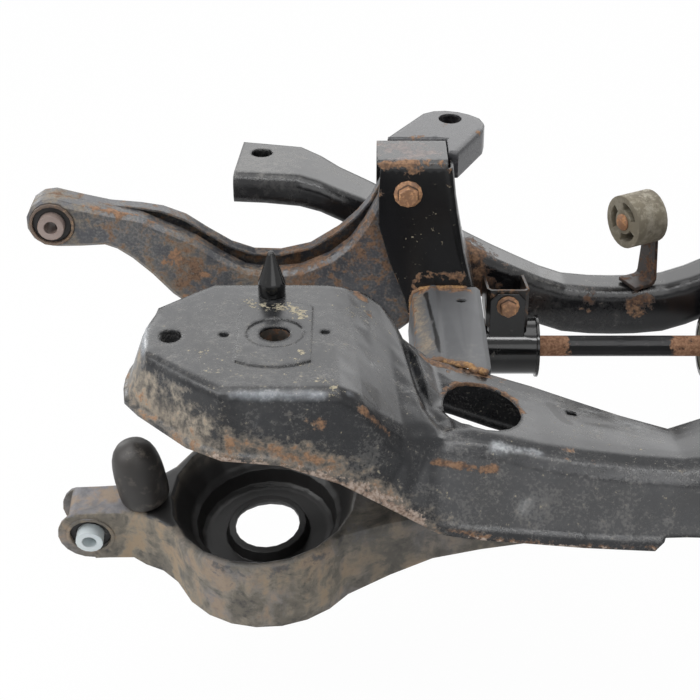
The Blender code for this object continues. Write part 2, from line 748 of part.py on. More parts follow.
def tower_bracket():
    bm = bmesh.new()
    front_left = [bm.verts.new((x, TOWER_FRONT_Y, z)) for x, z in TOWER_LEFT_EDGE]
    front_right = [bm.verts.new((x - BEND, TOWER_FRONT_Y, z)) for x, z in TOWER_RIGHT_EDGE]
    for i in range(len(front_left) - 1):
        bm.faces.new((front_left[i], front_left[i + 1], front_right[i + 1], front_right[i]))
    strips = [front_right]
    for share_x, y in ((BEND * 0.3, TOWER_FRONT_Y + BEND * 0.3), (0.0, TOWER_FRONT_Y + BEND),
                       (0.0, TOWER_WALL_STEP_Y)):
        strips.append([bm.verts.new((x - share_x, y, z)) for x, z in TOWER_RIGHT_EDGE])
    for before, after in zip(strips, strips[1:]):
        for i in range(len(TOWER_RIGHT_EDGE) - 1):
            bm.faces.new((before[i], before[i + 1], after[i + 1], after[i]))
    wall_rear = []
    for x, z in TOWER_RIGHT_EDGE[1:]:
        far = TOWER_FRONT_Y + TOWER_DEPTH + 0.0060
        surfaces = []
        for aside in (0.0, -0.0040):
            for above in (-0.0040, 0.0, 0.0040):
                surface = hit_from_front(crossmember_tree, x + aside, z + above, TOWER_FRONT_Y + BEND)
                if surface is not None:
                    surfaces.append(surface - 0.0010)
        if surfaces:
            far = min(surfaces)
        wall_rear.append(bm.verts.new((x, far, z)))
    step = strips[-1][1:]
    for i in range(len(wall_rear) - 1):
        bm.faces.new((step[i], step[i + 1], wall_rear[i + 1], wall_rear[i]))
    left_x = TOWER_LEFT_EDGE[0][0]
    right_x = TOWER_RIGHT_EDGE[0][0] - BEND
    fold = [(TOWER_FRONT_Y + BEND * 0.3, TOWER_TOP_Z - BEND * 0.35), (TOWER_FRONT_Y + BEND, TOWER_TOP_Z)]
    rear_y = TOWER_FRONT_Y + TOWER_DEPTH
    fold += [(rear_y - BEND, TOWER_TOP_Z), (rear_y - BEND * 0.3, TOWER_TOP_Z - BEND * 0.35)]
    fold += [(rear_y + back, z) for z, back in TOWER_REAR_ROWS]
    before = (front_left[0], front_right[0])
    for y, z in fold:
        after = (bm.verts.new((left_x - 0.003, y, z)), bm.verts.new((right_x, y, z)))
        bm.faces.new((before[0], before[1], after[1], after[0]))
        before = after
    face_towards(bm, (0.0, -1.0, 0.0))
    tower = add_piece("left_tower", bm, "black_paint")
    solidify(tower, TOWER_SHEET)
    settle(tower, crossmember_tree, (0.0, 1.0, 0.0), lambda c: c.y > 0.3500 and c.x > -0.2080)
    hole = cylinder(BOLT_SHANK + CLEARANCE, -0.02, 0.09,
                    along_y(-UPPER_PIVOT_X, TOWER_FRONT_Y, UPPER_PIVOT_Z), 16)
    boolean(tower, add_cutter("left_tower_bolt_hole", hole), "DIFFERENCE")
    return tower


def tree_of(piece):
    mesh = evaluated_mesh(piece)
    bm = bmesh.new()
    bm.from_mesh(mesh)
    bm.transform(piece.matrix_world)
    tree = BVHTree.FromBMesh(bm)
    bm.free()
    bpy.data.meshes.remove(mesh)
    return tree


def hit_from_front(tree, x, z, start):
    """Where a line at x, z going to the rear from start first meets a piece."""
    spot = tree.ray_cast(Vector((x, start, z)), Vector((0.0, 1.0, 0.0)))[0]
    return None if spot is None else spot.y


def hit_from_rear(tree, x, z, start):
    """Where a line at x, z going to the front from start first meets a piece."""
    spot = tree.ray_cast(Vector((x, start, z)), Vector((0.0, -1.0, 0.0)))[0]
    return None if spot is None else spot.y


def settle(piece, tree, way, pick):
    """Slide the picked rim of a sheet along way until it sits one clearance off a surface."""
    mesh = evaluated_mesh(piece)
    world = piece.matrix_world
    way = Vector(way)
    gaps = []
    for edge in mesh.edges:
        ends = [mesh.vertices[i].co for i in edge.vertices]
        if not all(pick(end) for end in ends):
            continue
        for k in range(9):
            spot = world @ ends[0].lerp(ends[1], k / 8.0)
            hit = tree.ray_cast(spot - way * 0.0100, way)
            if hit[0] is not None:
                gaps.append(hit[3] - 0.0100)
    shift = way * (min(gaps) - CLEARANCE)
    for vert in piece.data.vertices:
        if pick(vert.co):
            vert.co += shift
    bpy.data.meshes.remove(mesh)


crossmember_tree = tree_of(crossmember)
beam_tree = tree_of(beam)
left_tower = tower_bracket()

# Side rail: half section from its outer foot over the bead to its inner foot.
RAIL_SECTION = ((-0.2480, RAIL_FOOT_Z), (-0.2465, -0.1120), (-0.2435, -0.0960), (-0.2235, -0.0865),
                (-0.2195, -0.0865), (-0.2150, RAIL_TOP_Z), (-0.1935, RAIL_TOP_Z), (-0.1745, RAIL_TOP_Z),
                (-0.1700, -0.0930), (-0.1690, -0.1180), (-0.1680, RAIL_FOOT_Z))
# Where the rail's top lands on the beam: x and y of each lapped corner.
RAIL_LAP = {-0.1935: 0.0900, -0.1745: 0.0800}


def beam_top(x, y):
    """Highest point of the beam close to x, y."""
    heights = []
    for aside in (-0.0050, 0.0, 0.0050):
        for along in (-0.0040, 0.0, 0.0040):
            spot = beam_tree.ray_cast(Vector((x + aside, y + along, 0.05)), Vector((0.0, 0.0, -1.0)))[0]
            heights.append(spot.z)
    return max(heights)


def side_rail():
    bm = bmesh.new()
    near = []
    far = []
    far_y = TOWER_FRONT_Y - CLEARANCE
    for x, z in RAIL_SECTION:
        if x in RAIL_LAP:
            near_z = beam_top(x, RAIL_LAP[x]) + RAIL_SHEET + CLEARANCE * 1.5
            near.append(bm.verts.new((x, RAIL_LAP[x], near_z)))
            far.append(bm.verts.new((x, far_y, z)))
            continue
        hits = [RAIL_FRONT_Y - (0.0 if z < -0.1100 else 0.0220)]
        for aside in (-0.0050, 0.0, 0.0050):
            for below in (-0.0080, -0.0040, 0.0, 0.0020):
                spot = hit_from_rear(beam_tree, x + aside, z + below, 0.2)
                if spot is not None:
                    hits.append(spot)
        near.append(bm.verts.new((x, max(hits) + 0.0010, z)))
        far.append(bm.verts.new((x, far_y, z)))
    rings_to_faces(bm, [near, far], closed=False)
    face_towards(bm, (0.0, 0.0, 1.0))
    rail = add_piece("left_side_rail", bm, "black_paint")
    solidify(rail, RAIL_SHEET)
    settle(rail, beam_tree, (0.0, -1.0, 0.0), lambda c: c.y < 0.1500)
    slot = prism(ellipse(-0.1924, 0.2298, 0.0058, 0.0048, 8), -0.1100, -0.0800)
    boolean(rail, add_cutter("left_rail_slot", slot), "DIFFERENCE")
    return rail


side_rail()

# Mount arm behind the tower.
ARM_FRONT_Y = TOWER_FRONT_Y + TOWER_DEPTH + CLEARANCE
# Its outline: x and how far behind the tower's rear.
MOUNT_ARM_ROWS = ((-0.2085, -ARM_TIP), (-0.1970, -ARM_TIP), (-0.1815, -0.0053), (-0.1660, 0.0277),
                  (-0.1630, 0.0457), (-0.1670, 0.0607), (-0.1780, 0.0727), (-0.1900, 0.0802),
                  (-0.2050, 0.0842), (-0.2190, 0.0827), (-0.2310, 0.0752), (-0.2450, 0.0517),
                  (-0.2590, 0.0282), (-0.2720, 0.0062), (-0.2720, 0.0), (-0.2320, 0.0),
                  (-0.2200, 0.0), (-0.2085, 0.0))
MOUNT_ARM_PLAN = [(x, ARM_FRONT_Y + behind) for x, behind in MOUNT_ARM_ROWS]


def mount_arm_depth(x):
    """Its wall is shallower above the nut of the upper arm's bolt."""
    return between(((-0.2320, MOUNT_ARM_DEPTH * 0.61), (-0.2180, MOUNT_ARM_DEPTH)), x)


def mount_arm():
    levels = ((0.0040, 0.0), (0.0012, 0.0012), (0.0, 0.0040), (0.0, mount_arm_depth))
    bm = pressed_shell(MOUNT_ARM_PLAN, levels, lambda a, b, d: (a, b, TOWER_TOP_Z - d))
    face_towards(bm, (0.0, 0.0, 1.0))
    arm = add_piece("left_top_mount_arm", bm, "black_paint")
    solidify(arm, MOUNT_ARM_SHEET)
    x, behind, radius = MOUNT_ARM_HOLE
    outline = ellipse(x, ARM_FRONT_Y + behind, radius, radius * 1.12)
    hole = prism(outline, TOWER_TOP_Z - 0.02, TOWER_TOP_Z + 0.02)
    boolean(arm, add_cutter("left_mount_arm_hole", hole), "DIFFERENCE")
    return arm


mount_arm()

# Upper arm.
UPPER_SEAM_Y = TOWER_FRONT_Y + TOWER_DEPTH / 2.0 + 0.0010
upper_pivot = empty("left_upper_arm_pivot", Matrix.Translation((-UPPER_PIVOT_X, UPPER_SEAM_Y, UPPER_PIVOT_Z)))
UPPER_TOP_EDGE = ((-0.2830, 0.0080), (-0.2970, -0.0200), (-0.3130, -0.0440), (-0.3350, -0.0620),
                  (-0.3680, -0.0770), (-0.4010, -0.0800), (-0.4290, -0.0760), (-0.4550, -0.0610),
                  (-0.4820, -0.0415), (-0.5000, -0.0320), (-0.5190, -0.0235), (-0.5400, -0.0130),
                  (-0.5730, -0.0060), (-0.6060, 0.0010))
UPPER_BACK_EDGE = ((-0.2800, 0.0220), (-0.2900, 0.0010), (-0.3050, -0.0180), (-0.3250, -0.0370),
                   (-0.3570, -0.0580), (-0.3900, -0.0660), (-0.4200, -0.0650), (-0.4450, -0.0560),
                   (-0.4700, -0.0400), (-0.4940, -0.0230), (-0.5190, -0.0130), (-0.5430, -0.0090),
                   (-0.5760, -0.0060), (-0.6060, 0.0010))
UPPER_LOW_EDGE = ((-0.6075, -0.0479), (-0.5817, -0.0464), (-0.5686, -0.0514), (-0.5526, -0.0627),
                  (-0.5313, -0.0829), (-0.5100, -0.1072), (-0.4800, -0.1310), (-0.4400, -0.1500),
                  (-0.3900, -0.1610), (-0.3300, -0.1650), (-0.2850, -0.1610), (-0.2570, -0.1530),
                  (-0.2440, -0.1420), (-0.2350, -0.1000), (-0.2270, -0.0400))


def upper_outline(top_edge):
    centre = (-UPPER_OUTER_X, UPPER_OUTER_Z)
    points = arc(centre, UPPER_END, 84.0, 276.0, 7)
    points += list(UPPER_LOW_EDGE)
    points += arc((-UPPER_PIVOT_X, UPPER_PIVOT_Z), UPPER_INNER_EYE + 0.0060, -25.0, 150.0, 6)
    points += list(top_edge)
    return points


def upper_half(name, top_edge, side):
    """One pressed half; side is -1 for the front half and 1 for the rear half."""
    half = UPPER_THICKNESS / 2.0
    face_y = UPPER_SEAM_Y + side * half
    levels = ((0.0050, 0.0), (0.0, 0.0050), (0.0, half - CLEARANCE / 2.0))
    bm = pressed_shell(upper_outline(top_edge), levels, lambda a, b, d: (a, face_y - side * d, b))
    face_towards(bm, (0.0, float(side), 0.0))
    piece = add_piece(name, bm, "worn_paint", upper_pivot, upper_pivot.matrix_basis.inverted())
    solidify(piece, UPPER_SHEET)
    for label, x, z, radius in (("outer", -UPPER_OUTER_X, UPPER_OUTER_Z, UPPER_EYE + CLEARANCE),
                                ("inner", -UPPER_PIVOT_X, UPPER_PIVOT_Z, UPPER_INNER_EYE + CLEARANCE)):
        hole = cylinder(radius, -0.012, 0.012, along_y(x, face_y, z), ROUND)
        boolean(piece, add_cutter(name + "_hole_" + label, hole), "DIFFERENCE")
    return piece


def in_upper_arm(name, profile, finish, x, z, segments=ROUND):
    """A turned piece of the upper arm, its axis along Y through x, z."""
    place = upper_pivot.matrix_basis.inverted() @ along_y(x, UPPER_SEAM_Y, z)
    return turned(name, profile, finish, upper_pivot, place, segments, closed=True)


UPPER_INNER_HALF = UPPER_THICKNESS / 2.0 + 0.0020
upper_front = upper_half("left_upper_arm_front_half", UPPER_TOP_EDGE, -1)
upper_rear = upper_half("left_upper_arm_rear_half", UPPER_BACK_EDGE, 1)
upper_eye = in_upper_arm("left_upper_outer_eye", tube_profile(
    UPPER_EYE, UPPER_EYE - UPPER_EYE_WALL, -UPPER_EYE_LENGTH / 2.0, UPPER_EYE_LENGTH / 2.0),
    "rusty_steel", -UPPER_OUTER_X, UPPER_OUTER_Z)
upper_outer_rubber = in_upper_arm("left_upper_outer_rubber", tube_profile(
    UPPER_EYE - UPPER_EYE_WALL - CLEARANCE, UPPER_SLEEVE + CLEARANCE,
    0.0030 - UPPER_EYE_LENGTH / 2.0, UPPER_EYE_LENGTH / 2.0 - 0.0030),
    "black_rubber", -UPPER_OUTER_X, UPPER_OUTER_Z)
upper_outer_sleeve = in_upper_arm("left_upper_outer_sleeve", tube_profile(
    UPPER_SLEEVE, UPPER_BORE, -UPPER_SLEEVE_LENGTH / 2.0, UPPER_SLEEVE_LENGTH / 2.0),
    "bare_sleeve", -UPPER_OUTER_X, UPPER_OUTER_Z)
upper_inner_rubber = in_upper_arm("left_upper_inner_rubber", tube_profile(
    UPPER_INNER_EYE, UPPER_INNER_SLEEVE + CLEARANCE, -UPPER_INNER_HALF, UPPER_INNER_HALF),
    "black_rubber", -UPPER_PIVOT_X, UPPER_PIVOT_Z)
upper_arm_pieces = [upper_front, upper_rear, upper_eye, upper_outer_rubber, upper_outer_sleeve,
                    upper_inner_rubber]


def hex_reach(across, angle):
    """Radius of a hexagon at an angle, from half its width across flats."""
    turn = (angle + math.pi / 6.0) % (math.pi / 3.0) - math.pi / 6.0
    return across / math.cos(turn)


def stacked(rings, hollow=None):
    """A closed body from 12-sided rings of (shape, size, height), from the top down."""
    bm = bmesh.new()
    rows = []
    for shape, size, height in rings:
        row = []
        for i in range(12):
            angle = 2.0 * math.pi * i / 12.0
            reach = hex_reach(size, angle) if shape == "hex" else size
            row.append(bm.verts.new((reach * math.cos(angle), reach * math.sin(angle), height)))
        rows.append(row)
    rings_to_faces(bm, rows)
    if hollow is None:
        bm.faces.new(rows[0])
        bm.faces.new(rows[-1][::-1])
    else:
        rings_to_faces(bm, [rows[-1], rows[0]])
    bmesh.ops.recalc_face_normals(bm, faces=bm.faces)
    return bm


def flanged_bolt(shank, length, flange=BOLT_FLANGE, across=BOLT_HEX):
    """Head above zero, shank below it along Z."""
    top = BOLT_FLANGE_THICK + BOLT_HEX_THICK
    return stacked((("hex", across * 0.9, top), ("hex", across, top - 0.0012),
                    ("hex", across, BOLT_FLANGE_THICK), ("round", flange - 0.0015, BOLT_FLANGE_THICK - 0.0010),
                    ("round", flange, 0.0010), ("round", flange, 0.0),
                    ("round", shank, 0.0), ("round", shank, -length)))


def facing_front(x, y, z, lean=0.0):
    """Place whose Z axis points towards the front, away from the crossmember."""
    return Matrix.Translation((x, y, z)) @ Matrix.Rotation(lean + math.radians(90.0), 4, "X")


# Upper arm's bolt, nut and inner sleeve, fixed to the tower.
tower_rear_y = TOWER_FRONT_Y + TOWER_DEPTH
bolt_length = TOWER_DEPTH + 0.0190
add_piece(
    "left_upper_pivot_bolt", flanged_bolt(BOLT_SHANK, bolt_length), "rusty_steel",
    place=facing_front(-UPPER_PIVOT_X, TOWER_FRONT_Y - CLEARANCE, UPPER_PIVOT_Z))
nut_rings = (("hex", BOLT_HEX, 0.0120), ("hex", BOLT_HEX, 0.0030), ("round", BOLT_FLANGE, 0.0020),
             ("round", BOLT_FLANGE, 0.0), ("round", BOLT_SHANK + CLEARANCE, 0.0),
             ("round", BOLT_SHANK + CLEARANCE, 0.0120))
add_piece("left_upper_pivot_nut", stacked(nut_rings, hollow=True), "rusty_steel",
          place=along_y(-UPPER_PIVOT_X, tower_rear_y + CLEARANCE, UPPER_PIVOT_Z))
sleeve_half = TOWER_DEPTH / 2.0 - TOWER_SHEET - CLEARANCE
left_upper_inner_sleeve = turned(
    "left_upper_inner_sleeve",
    tube_profile(UPPER_INNER_SLEEVE, BOLT_SHANK + CLEARANCE, -sleeve_half, sleeve_half), "bare_sleeve",
    place=along_y(-UPPER_PIVOT_X, TOWER_FRONT_Y + TOWER_DEPTH / 2.0, UPPER_PIVOT_Z), closed=True)

# Lower arm: local X runs from its outer end to its inner pivot, local Z up.
lower_place = (Matrix.Translation(LOWER_PIVOT) @ Matrix.Rotation(LOWER_TILT, 4, "X")
               @ Matrix.Rotation(-LOWER_DROOP, 4, "Y"))
lower_pivot = empty("left_lower_arm_pivot", lower_place)
RIM_RADIUS = 0.1010
SEAT_RINGS = ((0.0935, 0.0), (0.0905, -0.0030), (0.0765, -0.0330), (0.0710, -0.0370),
              (0.0675, -0.0530), (0.0635, -0.0560), (0.0430, -0.0560), (0.0395, -0.0450),
              (SEAT_HOLE, -0.0440))
# Along the neck: share of the way from the inner eye to the rim, half width, wall depth.
NECK_START = 0.0380
NECK_END = SEAT_OUT - RIM_RADIUS * math.cos(math.radians(38.0))
NECK_ROWS = ((0.31, 0.0340, 0.0580), (0.56, 0.0400, 0.0620), (0.78, 0.0490, 0.0740))
# Towards the fork: distance back from the outer eye, half width, wall depth.
FORK_ROWS = ((0.0844, 0.0440, 0.0790), (0.0694, 0.0325, 0.0740), (0.0514, 0.0250, 0.0720),
             (0.0394, 0.0218, 0.0640), (0.0144, FORK_HALF_WIDTH, 0.0640),
             (-0.0106, FORK_HALF_WIDTH, 0.0640), (-0.0376, FORK_HALF_WIDTH, 0.0640))
RIM_DEPTH = 0.0860
EYE_DEPTH = 0.0560


def neck_x(share):
    return -(NECK_START + (NECK_END - NECK_START) * share)


def lower_outline():
    side = [(0.0290, 0.0), (0.0290, 0.0220), (0.0220, EYE_HALF_WIDTH), (-NECK_START, EYE_HALF_WIDTH)]
    side += [(neck_x(share), half) for share, half, _ in NECK_ROWS]
    side += arc((-SEAT_OUT, 0.0), RIM_RADIUS, 38.0, 140.0, 7)
    side += [(back - LOWER_LENGTH, half) for back, half, _ in FORK_ROWS]
    return side + [(x, -y) for x, y in side[:0:-1]]


def lower_depth(x):
    rows = [(back - LOWER_LENGTH, depth) for back, _, depth in FORK_ROWS[::-1]]
    rows += [(-SEAT_OUT - RIM_RADIUS * 0.76, RIM_DEPTH), (-NECK_END, RIM_DEPTH)]
    rows += [(neck_x(share), depth) for share, _, depth in NECK_ROWS[::-1]]
    return between(rows + [(-NECK_START, EYE_DEPTH), (0.0300, EYE_DEPTH)], x)


def lower_arm():
    rings = []
    for radius, drop in SEAT_RINGS:
        rings.append([(x, y, -drop) for x, y in ellipse(-SEAT_OUT, 0.0, radius, radius, 20)])
    levels = ((0.0050, 0.0), (0.0015, 0.0015), (0.0, 0.0050),
              (0.0, lower_depth))
    bm = pressed_shell(lower_outline(), levels, lambda a, b, d: (a, b, LOWER_TOP - d), rings)
    face_towards(bm, (0.0, 0.0, 1.0))
    arm = add_piece("left_lower_arm", bm, "worn_paint", lower_pivot)
    solidify(arm, LOWER_SHEET)
    axis = Matrix.Rotation(math.radians(90.0), 4, "X")
    ends = Matrix.Translation((-LOWER_LENGTH, 0.0, 0.0)) @ axis
    block_end = block((-LOWER_LENGTH - EAR_RADIUS * 2.0, -CUT_REACH, -0.0700), (-LOWER_LENGTH, CUT_REACH, 0.0600))
    end_cut = add_cutter("left_fork_end", block_end, lower_pivot)
    boolean(end_cut, add_cutter("left_fork_round", cylinder(EAR_RADIUS, -0.06, 0.06, ends, 20), lower_pivot),
            "DIFFERENCE")
    boolean(arm, end_cut, "DIFFERENCE")
    inner_end = block((0.0218, -CUT_REACH, -0.0700), (0.0600, CUT_REACH, 0.0220))
    boolean(arm, add_cutter("left_inner_mouth", inner_end, lower_pivot), "DIFFERENCE")
    outer = cylinder(LOWER_EYE, -FORK_HALF_WIDTH - 0.0015, FORK_HALF_WIDTH + 0.0015, ends, 16)
    boolean(arm, add_cutter("left_outer_eye", outer, lower_pivot), "UNION")
    inner = cylinder(LOWER_EYE, 0.0008 - EYE_HALF_WIDTH, EYE_HALF_WIDTH - 0.0008, axis, 16)
    boolean(arm, add_cutter("left_inner_eye", inner, lower_pivot), "UNION")
    bore = LOWER_EYE - LOWER_EYE_WALL
    for name, place in (("left_outer_bore", ends), ("left_inner_bore", axis)):
        through = cylinder(bore, -CUT_REACH, CUT_REACH, place, 16)
        boolean(arm, add_cutter(name, through, lower_pivot), "DIFFERENCE")
    small = cylinder(0.0060, -0.02, 0.08, Matrix.Translation((neck_x(0.66), 0.0, 0.0)), 12)
    boolean(arm, add_cutter("left_web_hole", small, lower_pivot), "DIFFERENCE")
    return arm


def in_lower_arm(name, profile, finish, x, closed=True, segments=ROUND):
    """A turned piece of the lower arm, its axis across the arm at x."""
    place = Matrix.Translation((x, 0.0, 0.0)) @ Matrix.Rotation(math.radians(90.0), 4, "X")
    return turned(name, profile, finish, lower_pivot, place, segments, closed)


lower = lower_arm()
rubber_outside = LOWER_EYE - LOWER_EYE_WALL - CLEARANCE
rubber_inside = LOWER_SLEEVE + CLEARANCE
lower_outer_rubber = in_lower_arm("left_lower_outer_rubber", tube_profile(
    rubber_outside, rubber_inside, 0.0030 - FORK_HALF_WIDTH, FORK_HALF_WIDTH - 0.0030),
    "black_rubber", -LOWER_LENGTH)
lower_outer_sleeve = in_lower_arm("left_lower_outer_sleeve", tube_profile(
    LOWER_SLEEVE, LOWER_BORE, -LOWER_SLEEVE_LENGTH / 2.0, LOWER_SLEEVE_LENGTH / 2.0),
    "zinc_sleeve", -LOWER_LENGTH)
lower_inner_rubber = in_lower_arm("left_lower_inner_rubber", tube_profile(
    rubber_outside, rubber_inside, 0.0030 - EYE_HALF_WIDTH, EYE_HALF_WIDTH - 0.0030),
    "black_rubber", 0.0)
# Share of the full radius, and height below the top or above the foot.
BUMP_TOP_ROWS = ((0.0, 0.0), (0.24, 0.0008), (0.46, 0.0036), (0.66, 0.0092), (0.84, 0.0180), (0.95, 0.0280))
BUMP_FOOT_ROWS = ((0.97, 0.0100), (0.93, 0.0040), (0.82, 0.0), (0.0, 0.0))
BUMP_ROWS = [(BUMP_RADIUS * share, BUMP_LENGTH - drop) for share, drop in BUMP_TOP_ROWS]
BUMP_ROWS += [(BUMP_RADIUS, BUMP_LENGTH * 0.48), (BUMP_RADIUS, BUMP_LENGTH * 0.28)]
BUMP_ROWS += [(BUMP_RADIUS * share, rise) for share, rise in BUMP_FOOT_ROWS]
bump_place = (Matrix.Translation((-BUMP_OUT, 0.0, LOWER_TOP + 0.0024))
              @ Matrix.Rotation(-BUMP_LEAN, 4, "Y"))
bump_stop = turned("left_bump_stop", BUMP_ROWS, "black_rubber", lower_pivot, bump_place)
PLUG_ROWS = [(0.0, 0.0), (PLUG_RADIUS - 0.0060, 0.0), (PLUG_RADIUS - 0.0060, -0.0480),
             (PLUG_RADIUS, -0.0500), (PLUG_RADIUS, -0.0600), (PLUG_RADIUS - 0.0030, -0.0640), (0.0, -0.0640)]
plug_place = Matrix.Translation((-PLUG_OUT, 0.0, LOWER_TOP - LOWER_SHEET - CLEARANCE))
plug = turned("left_lower_arm_plug", PLUG_ROWS, "black_rubber", lower_pivot, plug_place, 16)
lower_arm_pieces = [lower, lower_outer_rubber, lower_outer_sleeve, lower_inner_rubber, bump_stop, plug]

# Clevis under the front beam that holds the lower arm.
LEG_OUT = EYE_HALF_WIDTH + 0.0006 + CLEVIS_SHEET
LEG_COLUMNS = ((-0.5, 0.0060), (-0.185, 0.0250), (0.185, 0.0250), (0.5, 0.0060))
LEG_FOLD = 0.0040
# First height tried for a leg's top; the beam above it settles the rest.
LEG_GUESS = 0.0900


def under_beam(x, y):
    """Height of the beam's underside above a point, read beside any hole there."""
    heights = []
    for step in (0.0, -0.0120, 0.0120):
        spot = beam_tree.ray_cast(Vector((x, y + step, -0.1700)), Vector((0.0, 0.0, 1.0)))[0]
        if spot is not None:
            heights.append(spot.z)
            if step == 0.0:
                break
    return sum(heights) / len(heights)


def tilted(across, up, x):
    """A point of the lower arm's tilted frame, in metres of the whole part."""
    py, pz = LOWER_PIVOT[1:]
    return Vector((x, py + across * math.cos(LOWER_TILT) - up * math.sin(LOWER_TILT),
                   pz + across * math.sin(LOWER_TILT) + up * math.cos(LOWER_TILT)))


def leg_top(across, x):
    """How far a line of the tilted frame rises before it meets the beam."""
    up = LEG_GUESS
    for _ in range(8):
        spot = tilted(across, up, x)
        up += (under_beam(x, spot.y) - CLEARANCE * 1.6 - spot.z) / math.cos(LOWER_TILT)
    return up


def lower_clevis():
    bm = bmesh.new()
    rows = []
    for share, drop in LEG_COLUMNS:
        x = LOWER_PIVOT[0] + share * CLEVIS_WIDTH
        row = []
        for side in (-1.0, 1.0):
            outer = side * LEG_OUT
            inner = side * (LEG_OUT - LEG_FOLD)
            leg = [tilted(outer, -drop, x), tilted(outer, leg_top(outer, x) - LEG_FOLD, x),
                   tilted(inner, leg_top(inner, x), x)]
            row += leg if side < 0.0 else leg[::-1]
        rows.append([bm.verts.new(p) for p in row])
    rings_to_faces(bm, rows, closed=False)
    face_towards(bm, (0.0, -1.0, 0.0))
    clevis = add_piece("left_lower_clevis", bm, "black_paint")
    solidify(clevis, CLEVIS_SHEET)
    px, py, pz = LOWER_PIVOT
    place = facing_front(px, py, pz, LOWER_TILT)
    nut = cylinder(0.0115, -LEG_OUT - 0.0090, -LEG_OUT + 0.0020, place, 6)
    boolean(clevis, add_cutter("left_weld_nut", nut), "UNION")
    bore = cylinder(BOLT_SHANK + CLEARANCE, -0.06, 0.06, place, 12)
    boolean(clevis, add_cutter("left_clevis_bore", bore), "DIFFERENCE")
    return clevis


lower_clevis()
add_piece(
    "left_lower_pivot_bolt", flanged_bolt(BOLT_SHANK, LEG_OUT * 2.0 + 0.0120), "rusty_steel",
    place=facing_front(*LOWER_PIVOT, LOWER_TILT) @ Matrix.Translation((0.0, 0.0, LEG_OUT + CLEARANCE)))
inner_half = EYE_HALF_WIDTH + 0.0003
left_lower_inner_sleeve = turned(
    "left_lower_inner_sleeve",
    tube_profile(LOWER_SLEEVE, BOLT_SHANK + CLEARANCE, -inner_half, inner_half), "bare_sleeve",
    place=facing_front(*LOWER_PIVOT, LOWER_TILT), closed=True)

# Stabiliser bar: path points in plan with half widths across and upright.
bar_pivot = empty("stabiliser_bar_pivot", Matrix.Translation((0.0, BAR_Y, BAR_Z)))
BAR_BEND = 0.0400
BAR_STRAIGHT = 0.1850
BAR_EYE_Y = 0.2120
BAR_EYE_HOLE = 0.0060
# Its flattened end: y, half thickness, half height.
BAR_END_ROWS = ((BAR_EYE_Y + 0.0330, BAR_RADIUS, BAR_RADIUS), (BAR_EYE_Y + 0.0200, 0.0065, 0.0150),
                (BAR_EYE_Y + 0.0100, 0.0055, 0.0175), (BAR_EYE_Y, 0.0055, 0.0180),
                (BAR_EYE_Y - 0.0100, 0.0055, 0.0150), (BAR_EYE_Y - 0.0165, 0.0055, 0.0080))


def stabiliser_bar():
    path = [((0.0, BAR_Y), 0.0), ((-0.0900, BAR_Y), 0.0), ((-BAR_STRAIGHT, BAR_Y), 0.0)]
    for point, angle in zip(arc((-BAR_STRAIGHT, BAR_Y - BAR_BEND), BAR_BEND, 108.0, 180.0, 4),
                            (18.0, 36.0, 54.0, 72.0, 90.0)):
        path.append((point, angle))
    sections = [(p, a, BAR_RADIUS, BAR_RADIUS) for p, a in path]
    end_x = -BAR_STRAIGHT - BAR_BEND
    for y, thick, tall in BAR_END_ROWS:
        sections.append(((end_x, y), 90.0, thick, tall))
    bm = bmesh.new()
    rings = []
    for (x, y), angle, thick, tall in sections:
        heading = math.radians(angle)
        side = Vector((math.sin(heading), -math.cos(heading), 0.0))
        row = []
        for i in range(12):
            turn = 2.0 * math.pi * i / 12.0
            point = Vector((x, y, BAR_Z)) + side * (thick * math.cos(turn))
            row.append(bm.verts.new(point + Vector((0.0, 0.0, tall * math.sin(turn)))))
        rings.append(row)
    rings_to_faces(bm, rings)
    bm.faces.new(rings[-1])
    bmesh.ops.recalc_face_normals(bm, faces=bm.faces)
    face_towards(bm, (0.0, 0.0, 1.0))
    bar = add_piece("stabiliser_bar", bm, "rusty_steel", bar_pivot, bar_pivot.matrix_basis.inverted())
    twin = bar.modifiers.new("other_half", "MIRROR")
    twin.mirror_object = bar_pivot
    twin.merge_threshold = 0.0001
    hole = cylinder(BAR_EYE_HOLE, -0.03, 0.03, along_x(end_x, BAR_EYE_Y, BAR_Z), 12)
    boolean(bar, add_cutter("bar_eye_hole", hole, mirrored=True), "DIFFERENCE")
    return bar


bar = stabiliser_bar()

# Clamps, bushes and brackets of the bar.
CLAMP_TAB_X = 0.1340
CLAMP_TAB_Y = 0.2985
CLAMP_TAB_THICK = 0.0025
CLAMP_TAB_TOP = -0.1180
BRACKET_FRONT_Y = CLAMP_TAB_Y + CLAMP_TAB_THICK + CLEARANCE
half_clamp = CLAMP_LENGTH / 2.0
clamp_profile = [(CLAMP_RADIUS, half_clamp - 0.0030), (CLAMP_RADIUS, -half_clamp),
                 (CLAMP_RADIUS - CLAMP_WALL, -half_clamp), (CLAMP_RADIUS - CLAMP_WALL, half_clamp),
                 (CLAMP_FLANGE, half_clamp), (CLAMP_FLANGE, half_clamp - 0.0030)]
left_clamp = turned("left_bar_clamp", clamp_profile, "black_paint",
                    place=along_x(-CLAMP_X, BAR_Y, BAR_Z), segments=20, closed=True)
tab_half = CLAMP_TAB_WIDTH / 2.0
tab_outline = [(-CLAMP_TAB_X - tab_half, -0.1735), (-CLAMP_TAB_X + tab_half, -0.1735),
               (-CLAMP_TAB_X + tab_half, CLAMP_TAB_TOP - 0.0080),
               (-CLAMP_TAB_X + tab_half - 0.0080, CLAMP_TAB_TOP),
               (-CLAMP_TAB_X - tab_half + 0.0080, CLAMP_TAB_TOP),
               (-CLAMP_TAB_X - tab_half, CLAMP_TAB_TOP - 0.0080)]
